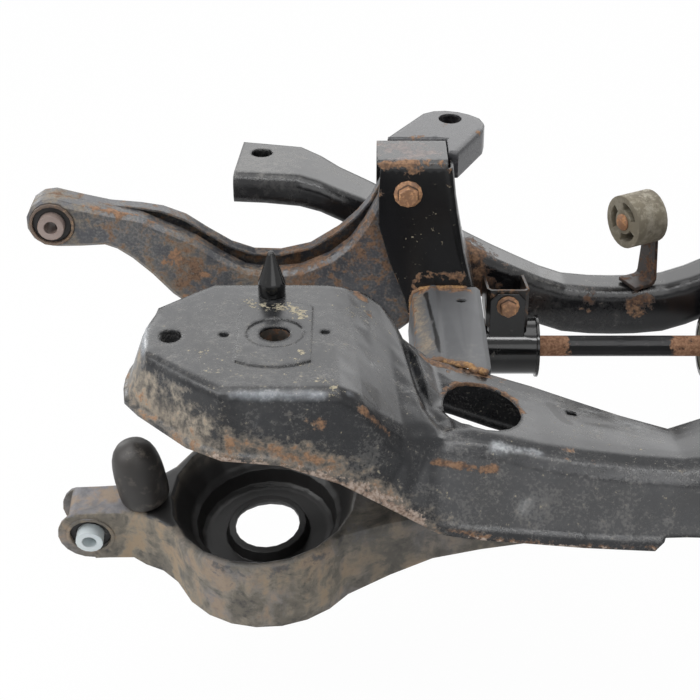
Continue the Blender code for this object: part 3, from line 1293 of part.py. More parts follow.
tab = prism(tab_outline, 0.0, CLAMP_TAB_THICK)
bmesh.ops.transform(tab, matrix=along_front(CLAMP_TAB_Y), verts=tab.verts)
bmesh.ops.recalc_face_normals(tab, faces=tab.faces)
boolean(left_clamp, add_cutter("left_clamp_tab", tab), "UNION")
tab_hole = cylinder(BOLT_SHANK + CLEARANCE, -0.02, 0.02, along_y(-CLAMP_TAB_X, CLAMP_TAB_Y, CLAMP_BOLT_Z), 12)
tab_hole_cutter = add_cutter("left_clamp_hole", tab_hole)
boolean(left_clamp, tab_hole_cutter, "DIFFERENCE")
turned("left_bar_bush", tube_profile(
    CLAMP_RADIUS - CLAMP_WALL - CLEARANCE, BAR_RADIUS + CLEARANCE, -half_clamp + 0.0010, half_clamp - 0.0010),
    "aged_rubber", place=along_x(-CLAMP_X, BAR_Y, BAR_Z), segments=20, closed=True)
left_clamp_bolt = add_piece(
    "left_clamp_bolt", flanged_bolt(BOLT_SHANK, 0.0200, CLAMP_BOLT_FLANGE, CLAMP_BOLT_HEX), "rusty_steel",
    place=facing_front(-CLAMP_TAB_X, CLAMP_TAB_Y - CLEARANCE, CLAMP_BOLT_Z))


def bar_bracket():
    left_x = -CLAMP_TAB_X - 0.0240
    right_x = -CLAMP_TAB_X + 0.0240
    plan = [(left_x, None), (left_x, BRACKET_FRONT_Y + 0.0050), (left_x + 0.0040, BRACKET_FRONT_Y),
            (right_x - 0.0040, BRACKET_FRONT_Y), (right_x, BRACKET_FRONT_Y + 0.0050), (right_x, None)]
    bm = bmesh.new()
    upper = []
    lower_row = []
    for x, y in plan:
        if y is None:
            y = hit_from_front(crossmember_tree, x, CLAMP_BOLT_Z - 0.0120, BRACKET_FRONT_Y) - 0.0010
        upper.append(bm.verts.new((x, y, -0.1145 if y < 0.33 else -0.1300)))
        lower_row.append(bm.verts.new((x, y, -0.1620)))
    rings_to_faces(bm, [upper, lower_row], closed=False)
    face_towards(bm, (0.0, -1.0, 0.0))
    bracket = add_piece("left_bar_clamp_bracket", bm, "black_paint")
    solidify(bracket, BRACKET_SHEET)
    settle(bracket, crossmember_tree, (0.0, 1.0, 0.0), lambda c: c.y > 0.3400)
    boolean(bracket, tab_hole_cutter, "DIFFERENCE")
    return bracket


bar_bracket()

# Exhaust hanger on the crossmember.
hanger_place = Matrix.Translation(HANGER_CENTRE) @ Matrix.Rotation(HANGER_TURN, 4, "Z")
hanger_axis = hanger_place @ Matrix.Rotation(math.radians(-90.0), 4, "Y")
half_hanger = HANGER_THICK / 2.0
HANGER_VOIDS = ((52.0, 128.0), (172.0, 248.0), (292.0, 368.0))


def hanger_rubber():
    bm = cylinder(HANGER_RADIUS, -half_hanger, half_hanger, None, 28)
    rubber = add_piece("exhaust_hanger_rubber", bm, "black_rubber", place=hanger_axis)
    for number, (start, end) in enumerate(HANGER_VOIDS):
        kidney = arc((0.0, 0.0), 0.0235, start, end, 5) + arc((0.0, 0.0), 0.0145, end, start, 4)
        void = prism(kidney, -0.03, 0.03)
        bmesh.ops.transform(void, matrix=hanger_axis, verts=void.verts)
        boolean(rubber, add_cutter("hanger_void_%d" % number, void), "DIFFERENCE")
    bore = cylinder(HANGER_PIN + CLEARANCE, -0.03, 0.03, hanger_axis, 12)
    boolean(rubber, add_cutter("hanger_bore", bore), "DIFFERENCE")
    return rubber


def hanger_bracket():
    near = half_hanger + CLEARANCE
    far = near + HANGER_STRAP_SHEET
    half = HANGER_STRAP_WIDTH / 2.0
    seat = -1.0
    for x in (far, 0.0, -0.0060):
        for y in (-half, half):
            spot = hanger_place @ Vector((x, y, 0.0))
            hit = crossmember_tree.ray_cast(Vector((spot.x, spot.y, 0.0)), Vector((0.0, 0.0, -1.0)))[0]
            if hit is not None:
                seat = max(seat, hit.z)
    foot = seat + CLEARANCE - HANGER_CENTRE[2]
    outline = [(far, 0.0240), (far, foot + 0.0080), (far - 0.0025, foot + 0.0025), (far - 0.0080, foot),
               (-0.0060, foot)]
    bm = bmesh.new()
    rows = []
    for x, z in outline:
        top = 0.0080 if z == 0.0240 else 0.0
        rows.append([bm.verts.new((x, -half + top, z)), bm.verts.new((x, half - top, z))])
    rings_to_faces(bm, rows, closed=False)
    bmesh.ops.recalc_face_normals(bm, faces=bm.faces)
    face_towards(bm, (1.0, 0.0, 0.0))
    bracket = add_piece("exhaust_hanger_bracket", bm, "black_paint", place=hanger_place)
    solidify(bracket, HANGER_STRAP_SHEET)
    bpy.context.view_layer.update()
    settle(bracket, crossmember_tree, (0.0, 0.0, -1.0), lambda c: c.z < -0.0600)
    bore = cylinder(HANGER_PIN + CLEARANCE, -0.04, 0.04, hanger_axis, 12)
    boolean(bracket, add_cutter("hanger_strap_hole", bore), "DIFFERENCE")
    return bracket


rubber = hanger_rubber()
hanger = hanger_bracket()
pin_top = half_hanger + CLEARANCE
pin_rows = [(0.0, pin_top + 0.0050), (0.0070, pin_top + 0.0042), (0.0100, pin_top + 0.0015),
            (0.0100, pin_top), (HANGER_PIN, pin_top), (HANGER_PIN, -half_hanger - 0.0100),
            (0.0, -half_hanger - 0.0100)]
turned("exhaust_hanger_pin", pin_rows, "rusty_steel", place=hanger_axis, segments=16)

# Right-hand side.
upper_place_right = Matrix.Translation((UPPER_PIVOT_X, UPPER_SEAM_Y, UPPER_PIVOT_Z))
upper_pivot_right = empty("right_upper_arm_pivot", upper_place_right)
lower_place_right = (Matrix.Translation((-LOWER_PIVOT[0], LOWER_PIVOT[1], LOWER_PIVOT[2]))
                     @ Matrix.Rotation(LOWER_TILT, 4, "X") @ Matrix.Rotation(LOWER_DROOP, 4, "Y"))
lower_pivot_right = empty("right_lower_arm_pivot", lower_place_right)
bpy.context.view_layer.update()
for piece in list(PIECES.objects):
    if piece.type == "MESH" and piece.name.startswith("left_"):
        guide = None
        if piece in upper_arm_pieces:
            guide = upper_pivot_right
        if piece in lower_arm_pieces:
            guide = lower_pivot_right
        mirror_twin(piece, guide)
CUTTERS.hide_render = True
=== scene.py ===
import math

import bmesh
import bpy
import numpy as np
from mathutils import Matrix
from mathutils import Vector
from mathutils.bvhtree import BVHTree


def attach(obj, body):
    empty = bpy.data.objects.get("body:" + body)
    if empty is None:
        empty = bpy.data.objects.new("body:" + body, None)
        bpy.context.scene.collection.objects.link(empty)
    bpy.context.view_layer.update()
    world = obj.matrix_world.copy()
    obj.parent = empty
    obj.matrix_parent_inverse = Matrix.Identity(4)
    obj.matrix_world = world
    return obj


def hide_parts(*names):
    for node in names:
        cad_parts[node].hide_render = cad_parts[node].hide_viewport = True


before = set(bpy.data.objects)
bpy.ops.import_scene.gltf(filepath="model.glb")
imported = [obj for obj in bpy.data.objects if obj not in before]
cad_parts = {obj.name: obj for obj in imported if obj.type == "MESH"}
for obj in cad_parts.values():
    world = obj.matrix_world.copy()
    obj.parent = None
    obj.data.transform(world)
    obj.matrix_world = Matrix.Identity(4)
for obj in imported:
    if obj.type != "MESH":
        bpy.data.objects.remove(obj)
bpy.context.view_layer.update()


# Camera and light.
# The left half of the part is seen square on, from 30 degrees above, under soft lights.
# A broad light behind it gives the black paint its grey sheen on all that faces up.
LENS_MM = 84.9
SENSOR_MM = 36.0
CAMERA_PLACE = (-0.3130, -1.3456, 0.7590)
CAMERA_TILT = math.radians(60.0)
WHITE = (1.0, 1.0, 1.0, 1.0)
ROOM_LIGHT = 0.40
MIRRORED_WHITE = 0.78
FLOOR_PLACE = (0.0, 0.15, -0.42)
FLOOR_HALF = 6.0
FLOOR_GLOW = 0.97
# Name, place, target, size, power, and whether only the gloss of the paint sees it.
LIGHTS = (
    ("overhead", (-0.3, 0.4, 2.1), (-0.3, 0.1, 0.0), (2.4, 1.6), 24.0, False),
    ("behind", (-0.3, 2.9, 1.45), (-0.3, 0.1, -0.05), (3.6, 2.0), 31.0, False),
    ("lamp_strip", (-0.4, -0.75, 1.55), (-0.3, 0.0, -0.05), (2.4, 0.28), 26.0, True),
    ("right_window", (1.4, 2.5, 0.3), (-0.28, 0.0, 0.0), (1.6, 1.2), 4.5, True),
    ("rim_window", (-1.95, 1.9, 0.65), (-0.5, 0.0, 0.0), (0.4, 1.2), 12.0, True),
    ("left_window", (-2.0, -0.6, 1.0), (-0.3, 0.1, -0.1), (1.4, 1.4), 22.0, False),
    ("front_fill", (0.4, -2.2, 0.9), (-0.2, 0.1, -0.1), (1.8, 1.2), 9.0, False),
)


def place_camera():
    lens = bpy.data.cameras.new("camera")
    lens.sensor_width = SENSOR_MM
    lens.lens = LENS_MM
    camera = bpy.data.objects.new("camera", lens)
    bpy.context.scene.collection.objects.link(camera)
    camera.location = CAMERA_PLACE
    camera.rotation_euler = (CAMERA_TILT, 0.0, 0.0)
    bpy.context.scene.camera = camera


def linear(hex_colour):
    """A screen colour such as #808080 as linear red, green, blue and alpha."""
    channels = []
    for i in (1, 3, 5):
        value = int(hex_colour[i:i + 2], 16) / 255.0
        channels.append(value / 12.92 if value <= 0.04045 else ((value + 0.055) / 1.055) ** 2.4)
    return (*channels, 1.0)


def soft_light(name, place, target, size, power, only_mirrored):
    lamp = bpy.data.lights.new(name, "AREA")
    lamp.shape = "RECTANGLE"
    lamp.size = size[0]
    lamp.size_y = size[1]
    lamp.energy = power
    light = bpy.data.objects.new(name, lamp)
    bpy.context.scene.collection.objects.link(light)
    light.location = place
    light.rotation_euler = (Vector(target) - Vector(place)).to_track_quat("-Z", "Y").to_euler()
    light.visible_camera = False
    light.visible_diffuse = not only_mirrored


def add_node(tree, kind, inputs=None, output=0, **settings):
    """Add a node with its settings; each input is linked to a socket or set to a value.

    It gives back one of the node's outputs, or the node itself where output is None.
    """
    node = tree.nodes.new(kind)
    for key, value in settings.items():
        setattr(node, key, value)
    for socket, source in (inputs or {}).items():
        if isinstance(source, bpy.types.NodeSocket):
            tree.links.new(source, node.inputs[socket])
        else:
            node.inputs[socket].default_value = source
    return node if output is None else node.outputs[output]


def white_room():
    """Grey as a light on the part, white to the eye, and a little dimmer in the paint's mirror."""
    world = bpy.data.worlds.new("room")
    world.use_nodes = True
    bpy.context.scene.world = world
    bpy.context.scene.view_settings.view_transform = "Standard"
    tree = world.node_tree
    plain = tree.nodes["Background"]
    plain.inputs["Color"].default_value = linear("#f4f6f8")
    plain.inputs["Strength"].default_value = ROOM_LIGHT
    paths = add_node(tree, "ShaderNodeLightPath", output=None).outputs
    strength = add_node(tree, "ShaderNodeMapRange",
                        {"Value": paths["Is Camera Ray"], "To Min": MIRRORED_WHITE})
    seen = add_node(tree, "ShaderNodeBackground", {"Color": WHITE, "Strength": strength})
    share = add_node(tree, "ShaderNodeMath", {0: paths["Is Camera Ray"], 1: paths["Is Glossy Ray"]},
                     operation="MAXIMUM")
    blend = add_node(tree, "ShaderNodeMixShader", {0: share, 1: plain.outputs[0], 2: seen})
    tree.links.new(blend, tree.nodes["World Output"].inputs["Surface"])


def white_floor():
    """Pale matt sheet below the part, which glows to the eye so that no edge of it shows."""
    bm = bmesh.new()
    bmesh.ops.create_grid(bm, x_segments=1, y_segments=1, size=FLOOR_HALF)
    mesh = bpy.data.meshes.new("floor")
    bm.to_mesh(mesh)
    bm.free()
    material = bpy.data.materials.new("pale_floor")
    material.use_nodes = True
    tree = material.node_tree
    matt = tree.nodes["Principled BSDF"]
    matt.inputs["Base Color"].default_value = linear("#f2f2f2")
    matt.inputs["Roughness"].default_value = 0.9
    seen = add_node(tree, "ShaderNodeLightPath", output="Is Camera Ray")
    share = add_node(tree, "ShaderNodeMath", {0: seen, 1: FLOOR_GLOW}, operation="MULTIPLY")
    glow = add_node(tree, "ShaderNodeEmission", {"Color": WHITE})
    blend = add_node(tree, "ShaderNodeMixShader", {0: share, 1: matt.outputs[0], 2: glow})
    tree.links.new(blend, tree.nodes["Material Output"].inputs["Surface"])
    mesh.materials.append(material)
    floor = bpy.data.objects.new("floor", mesh)
    floor.location = FLOOR_PLACE
    bpy.context.scene.collection.objects.link(floor)


place_camera()
white_room()
white_floor()
for light_row in LIGHTS:
    soft_light(*light_row)


# Front beam.
# Pressed sheet steel, dipped in black paint that mirrors the light from behind.
# Dust lies on the top, rust creeps up from the lip, and the shoulder is rubbed. A highlight is
# painted along the plateau's front edge and left rim.
# Name, scale, detail, roughness and distortion of the noises that all coats share.
# Their cells are about 110, 30, 9 and 3 mm across: clouds, patches, mottle and grains.
# Real dust is finer than the last, which is as coarse as the picture needs to show it.
COAT_NOISES = (("broad", 9.0, 3.0, 0.55, 0.4), ("patch", 34.0, 7.0, 0.66, 0.5),
               ("mottle", 110.0, 6.0, 0.68, 0.0), ("fine", 330.0, 4.0, 0.62, 0.0))
PAINT_WAVE = 0.9
# Noise values between which a coat and a layer go from their dark to their light colour.
COAT_TONES = (0.35, 0.65)
LAYER_TONES = (0.40, 0.61)
# A lifted layer is this much grit on this much body.
GRIT, BODY = 0.9, 0.4
BUMP_DEPTH = 0.0010
BUMP_STRENGTH = 0.5
# Cosine between the rounded and the flat normal where an edge begins and where it is full.
EDGE_BEGINS, EDGE_FULL = 0.995, 0.82
# Height of the normal from which dust lies whole.
LIES_WHOLE = 0.9
SEAM = 0.00001
FLAT_ANGLE = math.radians(0.2)
MOST_CUTS = 8


def near_marks(points, spots=(), lines=()):
    """How near each point lies to the marks of its side, from 0 to each mark's strength.

    A spot is x, y, z, radius and strength; a line is a list of points, a radius and a strength.
    Marks are told on the left side, and the right side repeats them.
    """
    near = np.zeros(len(points))
    for x, y, z, radius, strength in spots:
        away = np.linalg.norm(points - np.array((x, y, z)), axis=1)
        near = np.maximum(near, np.clip(1.0 - away / radius, 0.0, 1.0) * strength)
    for row, radius, strength in lines:
        for a, b in zip(row, row[1:]):
            start = np.array(a)
            along = np.array(b) - start
            share = np.clip((points - start) @ along / (along @ along), 0.0, 1.0)
            away = np.linalg.norm(points - start - share[:, None] * along, axis=1)
            near = np.maximum(near, np.clip(1.0 - away / radius, 0.0, 1.0) * strength)
    return near


def paint_coat(name, dark, light, gloss, edge_width=0.0018):
    """Black stove paint on steel: a smooth coat, with the noises its layers share."""
    material = bpy.data.materials.new(name)
    material.use_nodes = True
    tree = material.node_tree
    place = add_node(tree, "ShaderNodeTexCoord", output="Object")
    noise = {}
    for key, scale, detail, rough, warp in COAT_NOISES:
        noise[key] = add_node(tree, "ShaderNodeTexNoise",
                              {"Vector": place, "Scale": scale, "Detail": detail,
                               "Roughness": rough, "Distortion": warp})
    rounded = add_node(tree, "ShaderNodeBevel", {"Radius": edge_width}, samples=4)
    facing = add_node(tree, "ShaderNodeNewGeometry", output="Normal")
    cosine = add_node(tree, "ShaderNodeVectorMath", {0: rounded, 1: facing}, "Value",
                      operation="DOT_PRODUCT")
    edge = add_node(tree, "ShaderNodeMapRange",
                    {"Value": cosine, "From Min": EDGE_BEGINS, "From Max": EDGE_FULL},
                    interpolation_type="SMOOTHSTEP")
    rise = add_node(tree, "ShaderNodeSeparateXYZ", {0: facing}, 2)
    up = add_node(tree, "ShaderNodeMapRange", {"Value": rise, "From Min": 0.0,
                                               "From Max": LIES_WHOLE},
                  interpolation_type="SMOOTHSTEP")
    shade = add_node(tree, "ShaderNodeMapRange",
                     {"Value": noise["broad"], "From Min": COAT_TONES[0],
                      "From Max": COAT_TONES[1]},
                     interpolation_type="SMOOTHSTEP")
    colour = add_node(tree, "ShaderNodeMix", {0: shade, 6: linear(dark), 7: linear(light)}, 2,
                      data_type="RGBA")
    height = add_node(tree, "ShaderNodeMath", {0: noise["broad"], 1: PAINT_WAVE},
                      operation="MULTIPLY")
    return {"material": material, "tree": tree, "place": place, "noise": noise, "rounded": rounded,
            "edge": edge, "up": up, "colour": colour, "rough": gloss, "height": height}


def add_layer(coat, dark, light, rough, level, full=0.40, marks=None, grain=("patch", "fine"),
              crisp=0.035, edges=0.0, upward=0.0, cover=1.0, lift=0.0, tint=("mottle", "fine")):
    """Dust, rust or bare metal over what is there: denser near the named marks and edges.

    Level is how high the noise must reach to show: 0.5 covers half, 0.6 a little, 0.8 nothing.
    Full is what a whole mark brings it down to, and crisp is how soft the layer's rim is.
    Grain names the two noises that break the rim, and tint the two that mix the colours.
    """
    tree = coat["tree"]
    noise = coat["noise"]
    where = add_node(tree, "ShaderNodeMath", {0: coat["edge"], 1: edges}, operation="MULTIPLY")
    if marks:
        near = add_node(tree, "ShaderNodeAttribute", output="Fac", attribute_name=marks)
        where = add_node(tree, "ShaderNodeMath", {0: where, 1: near}, operation="MAXIMUM")
    helped = add_node(tree, "ShaderNodeMath", {0: where, 1: level - full}, operation="MULTIPLY")
    both = add_node(tree, "ShaderNodeMath", {0: noise[grain[0]], 1: noise[grain[1]]},
                    operation="ADD")
    mean = add_node(tree, "ShaderNodeMath", {0: both, 1: 0.5}, operation="MULTIPLY")
    field = add_node(tree, "ShaderNodeMath", {0: mean, 1: helped}, operation="ADD")
    mask = add_node(tree, "ShaderNodeMapRange",
                    {"Value": field, "From Min": level - crisp, "From Max": level + crisp},
                    interpolation_type="SMOOTHSTEP")
    if upward:
        lying = add_node(tree, "ShaderNodeMath", {0: coat["up"], 1: upward}, operation="MULTIPLY")
        kept = add_node(tree, "ShaderNodeMath", {0: 1.0 - upward, 1: lying}, operation="ADD")
        mask = add_node(tree, "ShaderNodeMath", {0: mask, 1: kept}, operation="MULTIPLY")
    mask = add_node(tree, "ShaderNodeMath", {0: mask, 1: cover}, operation="MULTIPLY")
    tints = add_node(tree, "ShaderNodeMath", {0: noise[tint[0]], 1: noise[tint[1]]},
                     operation="ADD")
    tone = add_node(tree, "ShaderNodeMath", {0: tints, 1: 0.5}, operation="MULTIPLY")
    shade = add_node(tree, "ShaderNodeMapRange",
                     {"Value": tone, "From Min": LAYER_TONES[0], "From Max": LAYER_TONES[1]},
                     interpolation_type="SMOOTHSTEP")
    colour = add_node(tree, "ShaderNodeMix", {0: shade, 6: linear(dark), 7: linear(light)}, 2,
                      data_type="RGBA")
    coat["colour"] = add_node(tree, "ShaderNodeMix", {0: mask, 6: coat["colour"], 7: colour}, 2,
                              data_type="RGBA")
    coat["rough"] = add_node(tree, "ShaderNodeMix", {0: mask, 2: coat["rough"], 3: rough},
                             data_type="FLOAT")
    if lift:
        grit = add_node(tree, "ShaderNodeMath", {0: noise["fine"], 1: GRIT}, operation="MULTIPLY")
        body = add_node(tree, "ShaderNodeMath", {0: grit, 1: BODY}, operation="ADD")
        bumps = add_node(tree, "ShaderNodeMath", {0: mask, 1: body}, operation="MULTIPLY")
        raised = add_node(tree, "ShaderNodeMath", {0: bumps, 1: lift}, operation="MULTIPLY")
        coat["height"] = add_node(tree, "ShaderNodeMath", {0: coat["height"], 1: raised},
                                  operation="ADD")


def close_coat(coat, ior=1.55):
    tree = coat["tree"]
    bump = add_node(tree, "ShaderNodeBump",
                    {"Strength": BUMP_STRENGTH, "Distance": BUMP_DEPTH, "Height": coat["height"],
                     "Normal": coat["rounded"]})
    sockets = tree.nodes["Principled BSDF"].inputs
    sockets["IOR"].default_value = ior
    for name, source in (("Base Color", coat["colour"]), ("Roughness", coat["rough"]),
                         ("Normal", bump)):
        tree.links.new(source, sockets[name])
    return coat["material"]


def split_long_edges(bm, longest):
    """Cut each triangle's edges until none is longer."""
    bmesh.ops.triangulate(bm, faces=bm.faces)
    for _ in range(MOST_CUTS):
        long_edges = [e for e in bm.edges if e.calc_length() > longest]
        if not long_edges:
            break
        bmesh.ops.subdivide_edges(bm, edges=long_edges, cuts=1)
        bmesh.ops.triangulate(bm, faces=[f for f in bm.faces if len(f.verts) > 3])


def point_values(mesh, name):
    """One vector of every vertex, as the rows of an array."""
    values = np.empty(len(mesh.vertices) * 3)
    mesh.vertices.foreach_get(name, values)
    return values.reshape(-1, 3)


def clean_copy(node, body, material, marks=None, grid=0.007, angle=38.0):
    """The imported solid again, with its seams merged and its curved faces shaded smooth.

    Where it carries marks, its mesh is made finer, and each mark is an attribute of its points.
    """
    bm = bmesh.new()
    bm.from_mesh(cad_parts[node].data)
    bmesh.ops.remove_doubles(bm, verts=bm.verts, dist=SEAM)
    bmesh.ops.dissolve_limit(bm, angle_limit=FLAT_ANGLE, verts=bm.verts, edges=bm.edges)
    bmesh.ops.recalc_face_normals(bm, faces=bm.faces)
    for edge in bm.edges:
        edge.smooth = len(edge.link_faces) != 2 or edge.calc_face_angle(0.0) < math.radians(angle)
    if marks:
        split_long_edges(bm, grid)
    for face in bm.faces:
        face.smooth = True
    mesh = bpy.data.meshes.new(node + "_surface")
    bm.to_mesh(mesh)
    bm.free()
    mesh.materials.append(material)
    if marks:
        points = point_values(mesh, "co")
        facing = point_values(mesh, "normal")
        facing[:, 0] *= -np.sign(points[:, 0])
        points[:, 0] = -np.abs(points[:, 0])
        for name, rule in marks.items():
            near = rule(points, facing) if callable(rule) else near_marks(points, *rule)
            mesh.attributes.new(name, "FLOAT", "POINT").data.foreach_set("value", near)
    piece = bpy.data.objects.new(node + "_surface", mesh)
    bpy.context.scene.collection.objects.link(piece)
    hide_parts(node)
    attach(piece, body)


DUST = ("#6b6a68", "#8b8883")
CLAY = ("#8f866f", "#b9ae93")
RUST = ("#553d2d", "#9a7658")
OLD_RUST = ("#3d2a1f", "#6f4f38")
CRUST = ("#7d6656", "#b9a89b")


LIP = [(-0.5110, 0.0400, -0.0560), (-0.5222, -0.0175, -0.0513), (-0.5025, -0.0541, -0.0560),
       (-0.4772, -0.0791, -0.0586), (-0.4490, -0.1090, -0.0640), (-0.4000, -0.1130, -0.0700),
       (-0.3400, -0.1130, -0.0839), (-0.2903, -0.1126, -0.1039), (-0.2394, -0.1120, -0.1423)]
LIP_END = [(-0.2394, -0.1120, -0.1423), (-0.1742, -0.1110, -0.1568), (-0.1183, -0.1106, -0.1628),
           (0.0, -0.1101, -0.1680)]
# Rims and lines of rust, told along the left side.
OVAL_RIM = [(-0.2246, 0.0218, -0.0809), (-0.2172, 0.0345, -0.0805), (-0.2046, 0.0475, -0.0841),
            (-0.1842, 0.0543, -0.0881), (-0.1642, 0.0480, -0.0915), (-0.1514, 0.0300, -0.0917),
            (-0.1480, 0.0020, -0.0895)]
PIN_FOOT = [(-0.4128, 0.0640, 0.0), (-0.4045, 0.0531, 0.0015), (-0.3879, 0.0471, 0.0015),
            (-0.3727, 0.0511, 0.0015), (-0.3628, 0.0411, 0.0015), (-0.3586, 0.0272, 0.0015)]
LEFT_WALL = [(-0.5150, -0.0200, -0.0400), (-0.5076, -0.0417, -0.0440), (-0.4820, -0.0664, -0.0460),
             (-0.4623, -0.0863, -0.0500), (-0.4479, -0.0978, -0.0530)]
FRONT_FOOT = [(-0.4202, -0.1084, -0.0520), (-0.3936, -0.1085, -0.0560), (-0.3668, -0.1087, -0.0620),
              (-0.3310, -0.1087, -0.0750)]
RAIL_FOOT = [(-0.2400, 0.0850, -0.0800), (-0.2050, 0.0800, -0.0890), (-0.1662, 0.0800, -0.0985)]
SHOULDER = [(-0.2369, -0.0859, -0.0869), (-0.2257, -0.0840, -0.0903), (-0.2118, -0.0834, -0.0930),
            (-0.1932, -0.0836, -0.0973), (-0.1790, -0.0818, -0.0960)]
SCRATCH = [(-0.1159, 0.0366, -0.1005), (-0.1140, 0.0260, -0.0990), (-0.1105, 0.0120, -0.0978),
           (-0.1060, 0.0010, -0.0970), (-0.1019, -0.0029, -0.0974)]
BEAM_MARKS = {
    "film": ([(-0.45, -0.02, 0.0, 0.10, 0.8), (-0.40, -0.07, 0.0, 0.09, 0.8),
              (-0.33, -0.02, 0.0, 0.06, 0.5),
              (-0.36, 0.07, 0.0, 0.08, 0.5)],),
    "clouds": ([(-0.20, -0.098, -0.120, 0.055, 1.0), (-0.13, -0.098, -0.125, 0.045, 0.9),
                (-0.24, -0.098, -0.125, 0.045, 0.9), (-0.06, -0.100, -0.140, 0.06, 0.9),
                (-0.29, -0.105, -0.070, 0.035, 1.0)],),
    "clay": ([(-0.4477, -0.0365, 0.0, 0.012, 0.8), (-0.3552, -0.0354, 0.0015, 0.012, 0.8),
              (-0.3353, -0.0845, 0.0, 0.014, 0.8), (-0.3275, -0.0990, -0.0010, 0.014, 1.0),
              (-0.36, -0.06, 0.0, 0.05, 0.30), (-0.42, -0.06, 0.0, 0.06, 0.32),
              (-0.3000, 0.06, -0.01, 0.03, 0.4)],
             [(PIN_FOOT, 0.011, 1.0)]),
    "rust": ([(-0.3395, -0.1074, -0.033, 0.020, 0.95), (-0.2925, 0.0655, -0.0163, 0.012, 0.85),
              (-0.1152, -0.0576, -0.0913, 0.009, 0.8), (-0.1076, -0.0573, -0.0926, 0.008, 0.8),
              (-0.1135, -0.0689, -0.0938, 0.008, 0.8), (-0.0865, -0.0690, -0.0980, 0.009, 0.9),
              (-0.1450, -0.0690, -0.0880, 0.012, 0.7), (-0.3879, 0.0471, 0.0015, 0.010, 0.8)],
             [(LIP, 0.030, 0.70), (LIP_END, 0.010, 0.75), (FRONT_FOOT, 0.024, 0.72),
              (LEFT_WALL, 0.034, 0.60),
              (RAIL_FOOT, 0.020, 1.0), (OVAL_RIM, 0.009, 1.1), (SHOULDER, 0.0085, 1.1),
              ([(-0.3081, 0.0933, -0.0057), (-0.2982, 0.0848, -0.0101)], 0.010, 1.0),
              ([(-0.3023, -0.1013, -0.0189), (-0.2906, -0.0975, -0.0361),
                (-0.2787, -0.0929, -0.0508)], 0.009, 1.0)]),
    "stain": ([], [(LEFT_WALL, 0.046, 1.0), (LIP, 0.030, 0.8), (FRONT_FOOT, 0.026, 0.75)]),
    "rubbed": ([], [([(-0.1801, -0.0680, -0.0800), (-0.1700, -0.0690, -0.0830)], 0.013, 1.0),
                    ([(-0.1700, -0.0690, -0.0830), (-0.1368, -0.0673, -0.0893)], 0.009, 0.8)]),
    # Painted highlight on the plateau's front edge and left rim, where the rounded edge would
    # mirror the lamp.
    "painted_highlight": ([(-0.3130, -0.0965, -0.0060, 0.014, 1.1)],
              [([(-0.4170, -0.1038, -0.0040), (-0.3360, -0.1034, -0.0038)], 0.0110, 1.1),
               ([(-0.5067, 0.0300, -0.0049), (-0.5034, -0.0280, -0.0045)], 0.0100, 1.1)]),
    "scratch": ([], [(SCRATCH, 0.0080, 1.5)]),
    "crust": ([],
              [([(-0.4400, -0.1130, -0.0680), (-0.4000, -0.1130, -0.0740),
                 (-0.3400, -0.1130, -0.0860),
                 (-0.2903, -0.1126, -0.1060), (-0.2500, -0.1120, -0.1350)], 0.015, 1.35),
               ([(-0.2500, -0.1125, -0.1420), (-0.1742, -0.1115, -0.1600),
                 (-0.0298, -0.1101, -0.1690)],
                0.0045, 0.9)]),
}


def beam_finish():
    """Black dip paint, glossy and slightly blue: grey where it mirrors light, dark in front."""
    coat = paint_coat("black_beam_paint", "#141518", "#202226", 0.24, 0.0050)
    # Thin grey film of dust on the top, and faint clouds of it on the front wall.
    add_layer(coat, *DUST, 0.45, 0.600, 0.46, "film", ("broad", "mottle"), crisp=0.14, upward=0.5,
              cover=0.28)
    add_layer(coat, *DUST, 0.50, 0.600, 0.50, "clouds", ("patch", "fine"), crisp=0.09, cover=0.34)
    # Dark scratch beside the square hole.
    add_layer(coat, "#0c0d0f", "#141517", 0.30, 0.900, 0.25, "scratch", ("mottle", "fine"),
              crisp=0.06)
    # Pale clay round the pin's foot, and specks of it at the front of the top.
    add_layer(coat, *CLAY, 0.80, 0.640, 0.48, "clay", ("mottle", "fine"), crisp=0.030, lift=0.25,
              cover=0.85)
    # Clay and thin rust dull the left wall and the foot of the front.
    add_layer(coat, "#857b6e", "#b8ab98", 0.75, 0.700, 0.41, "stain", ("patch", "mottle"),
              crisp=0.12, cover=0.72, tint=("patch", "mottle"))
    # Rust: mottled over the left wall and the foot of the front, in lines on the shoulder.
    add_layer(coat, *RUST, 0.86, 0.700, 0.44, "rust", ("patch", "mottle"), crisp=0.050, lift=0.4,
              cover=0.92)
    # Rubbed bright spot on the shoulder, bare steel under a trace of rust.
    add_layer(coat, "#8e9194", "#c2c5c8", 0.30, 0.700, 0.40, "rubbed", ("broad", "patch"),
              crisp=0.12, cover=0.85)
    # Painted highlight: a pale band along the plateau's front edge and left rim, and a spot at its
    # front, in place of the lamp's reflection on the rounded edges.
    add_layer(coat, "#9da2a8", "#c6cad0", 0.28, 0.900, 0.42, "painted_highlight", ("broad", "patch"),
              crisp=0.20, cover=0.62)
    # Flaky crust along the front lip.
    add_layer(coat, *CRUST, 0.90, 0.700, 0.46, "crust", ("mottle", "fine"), crisp=0.030, lift=1.2)
    return close_coat(coat, ior=1.49)


clean_copy("front_beam", "frame", beam_finish(), BEAM_MARKS, 0.006, 75.0)


# Mount sleeves and locating pins of the beam.
# Steel tubes under the mount holes, and a turned black cone that guides each body mount.
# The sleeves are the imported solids; each cone is turned again with a finer outline.
CONE_PLACE = (0.3893, 0.0795, 0.0003)
ON_AXIS = 0.00001
TURNED_ANGLE = math.radians(40.0)


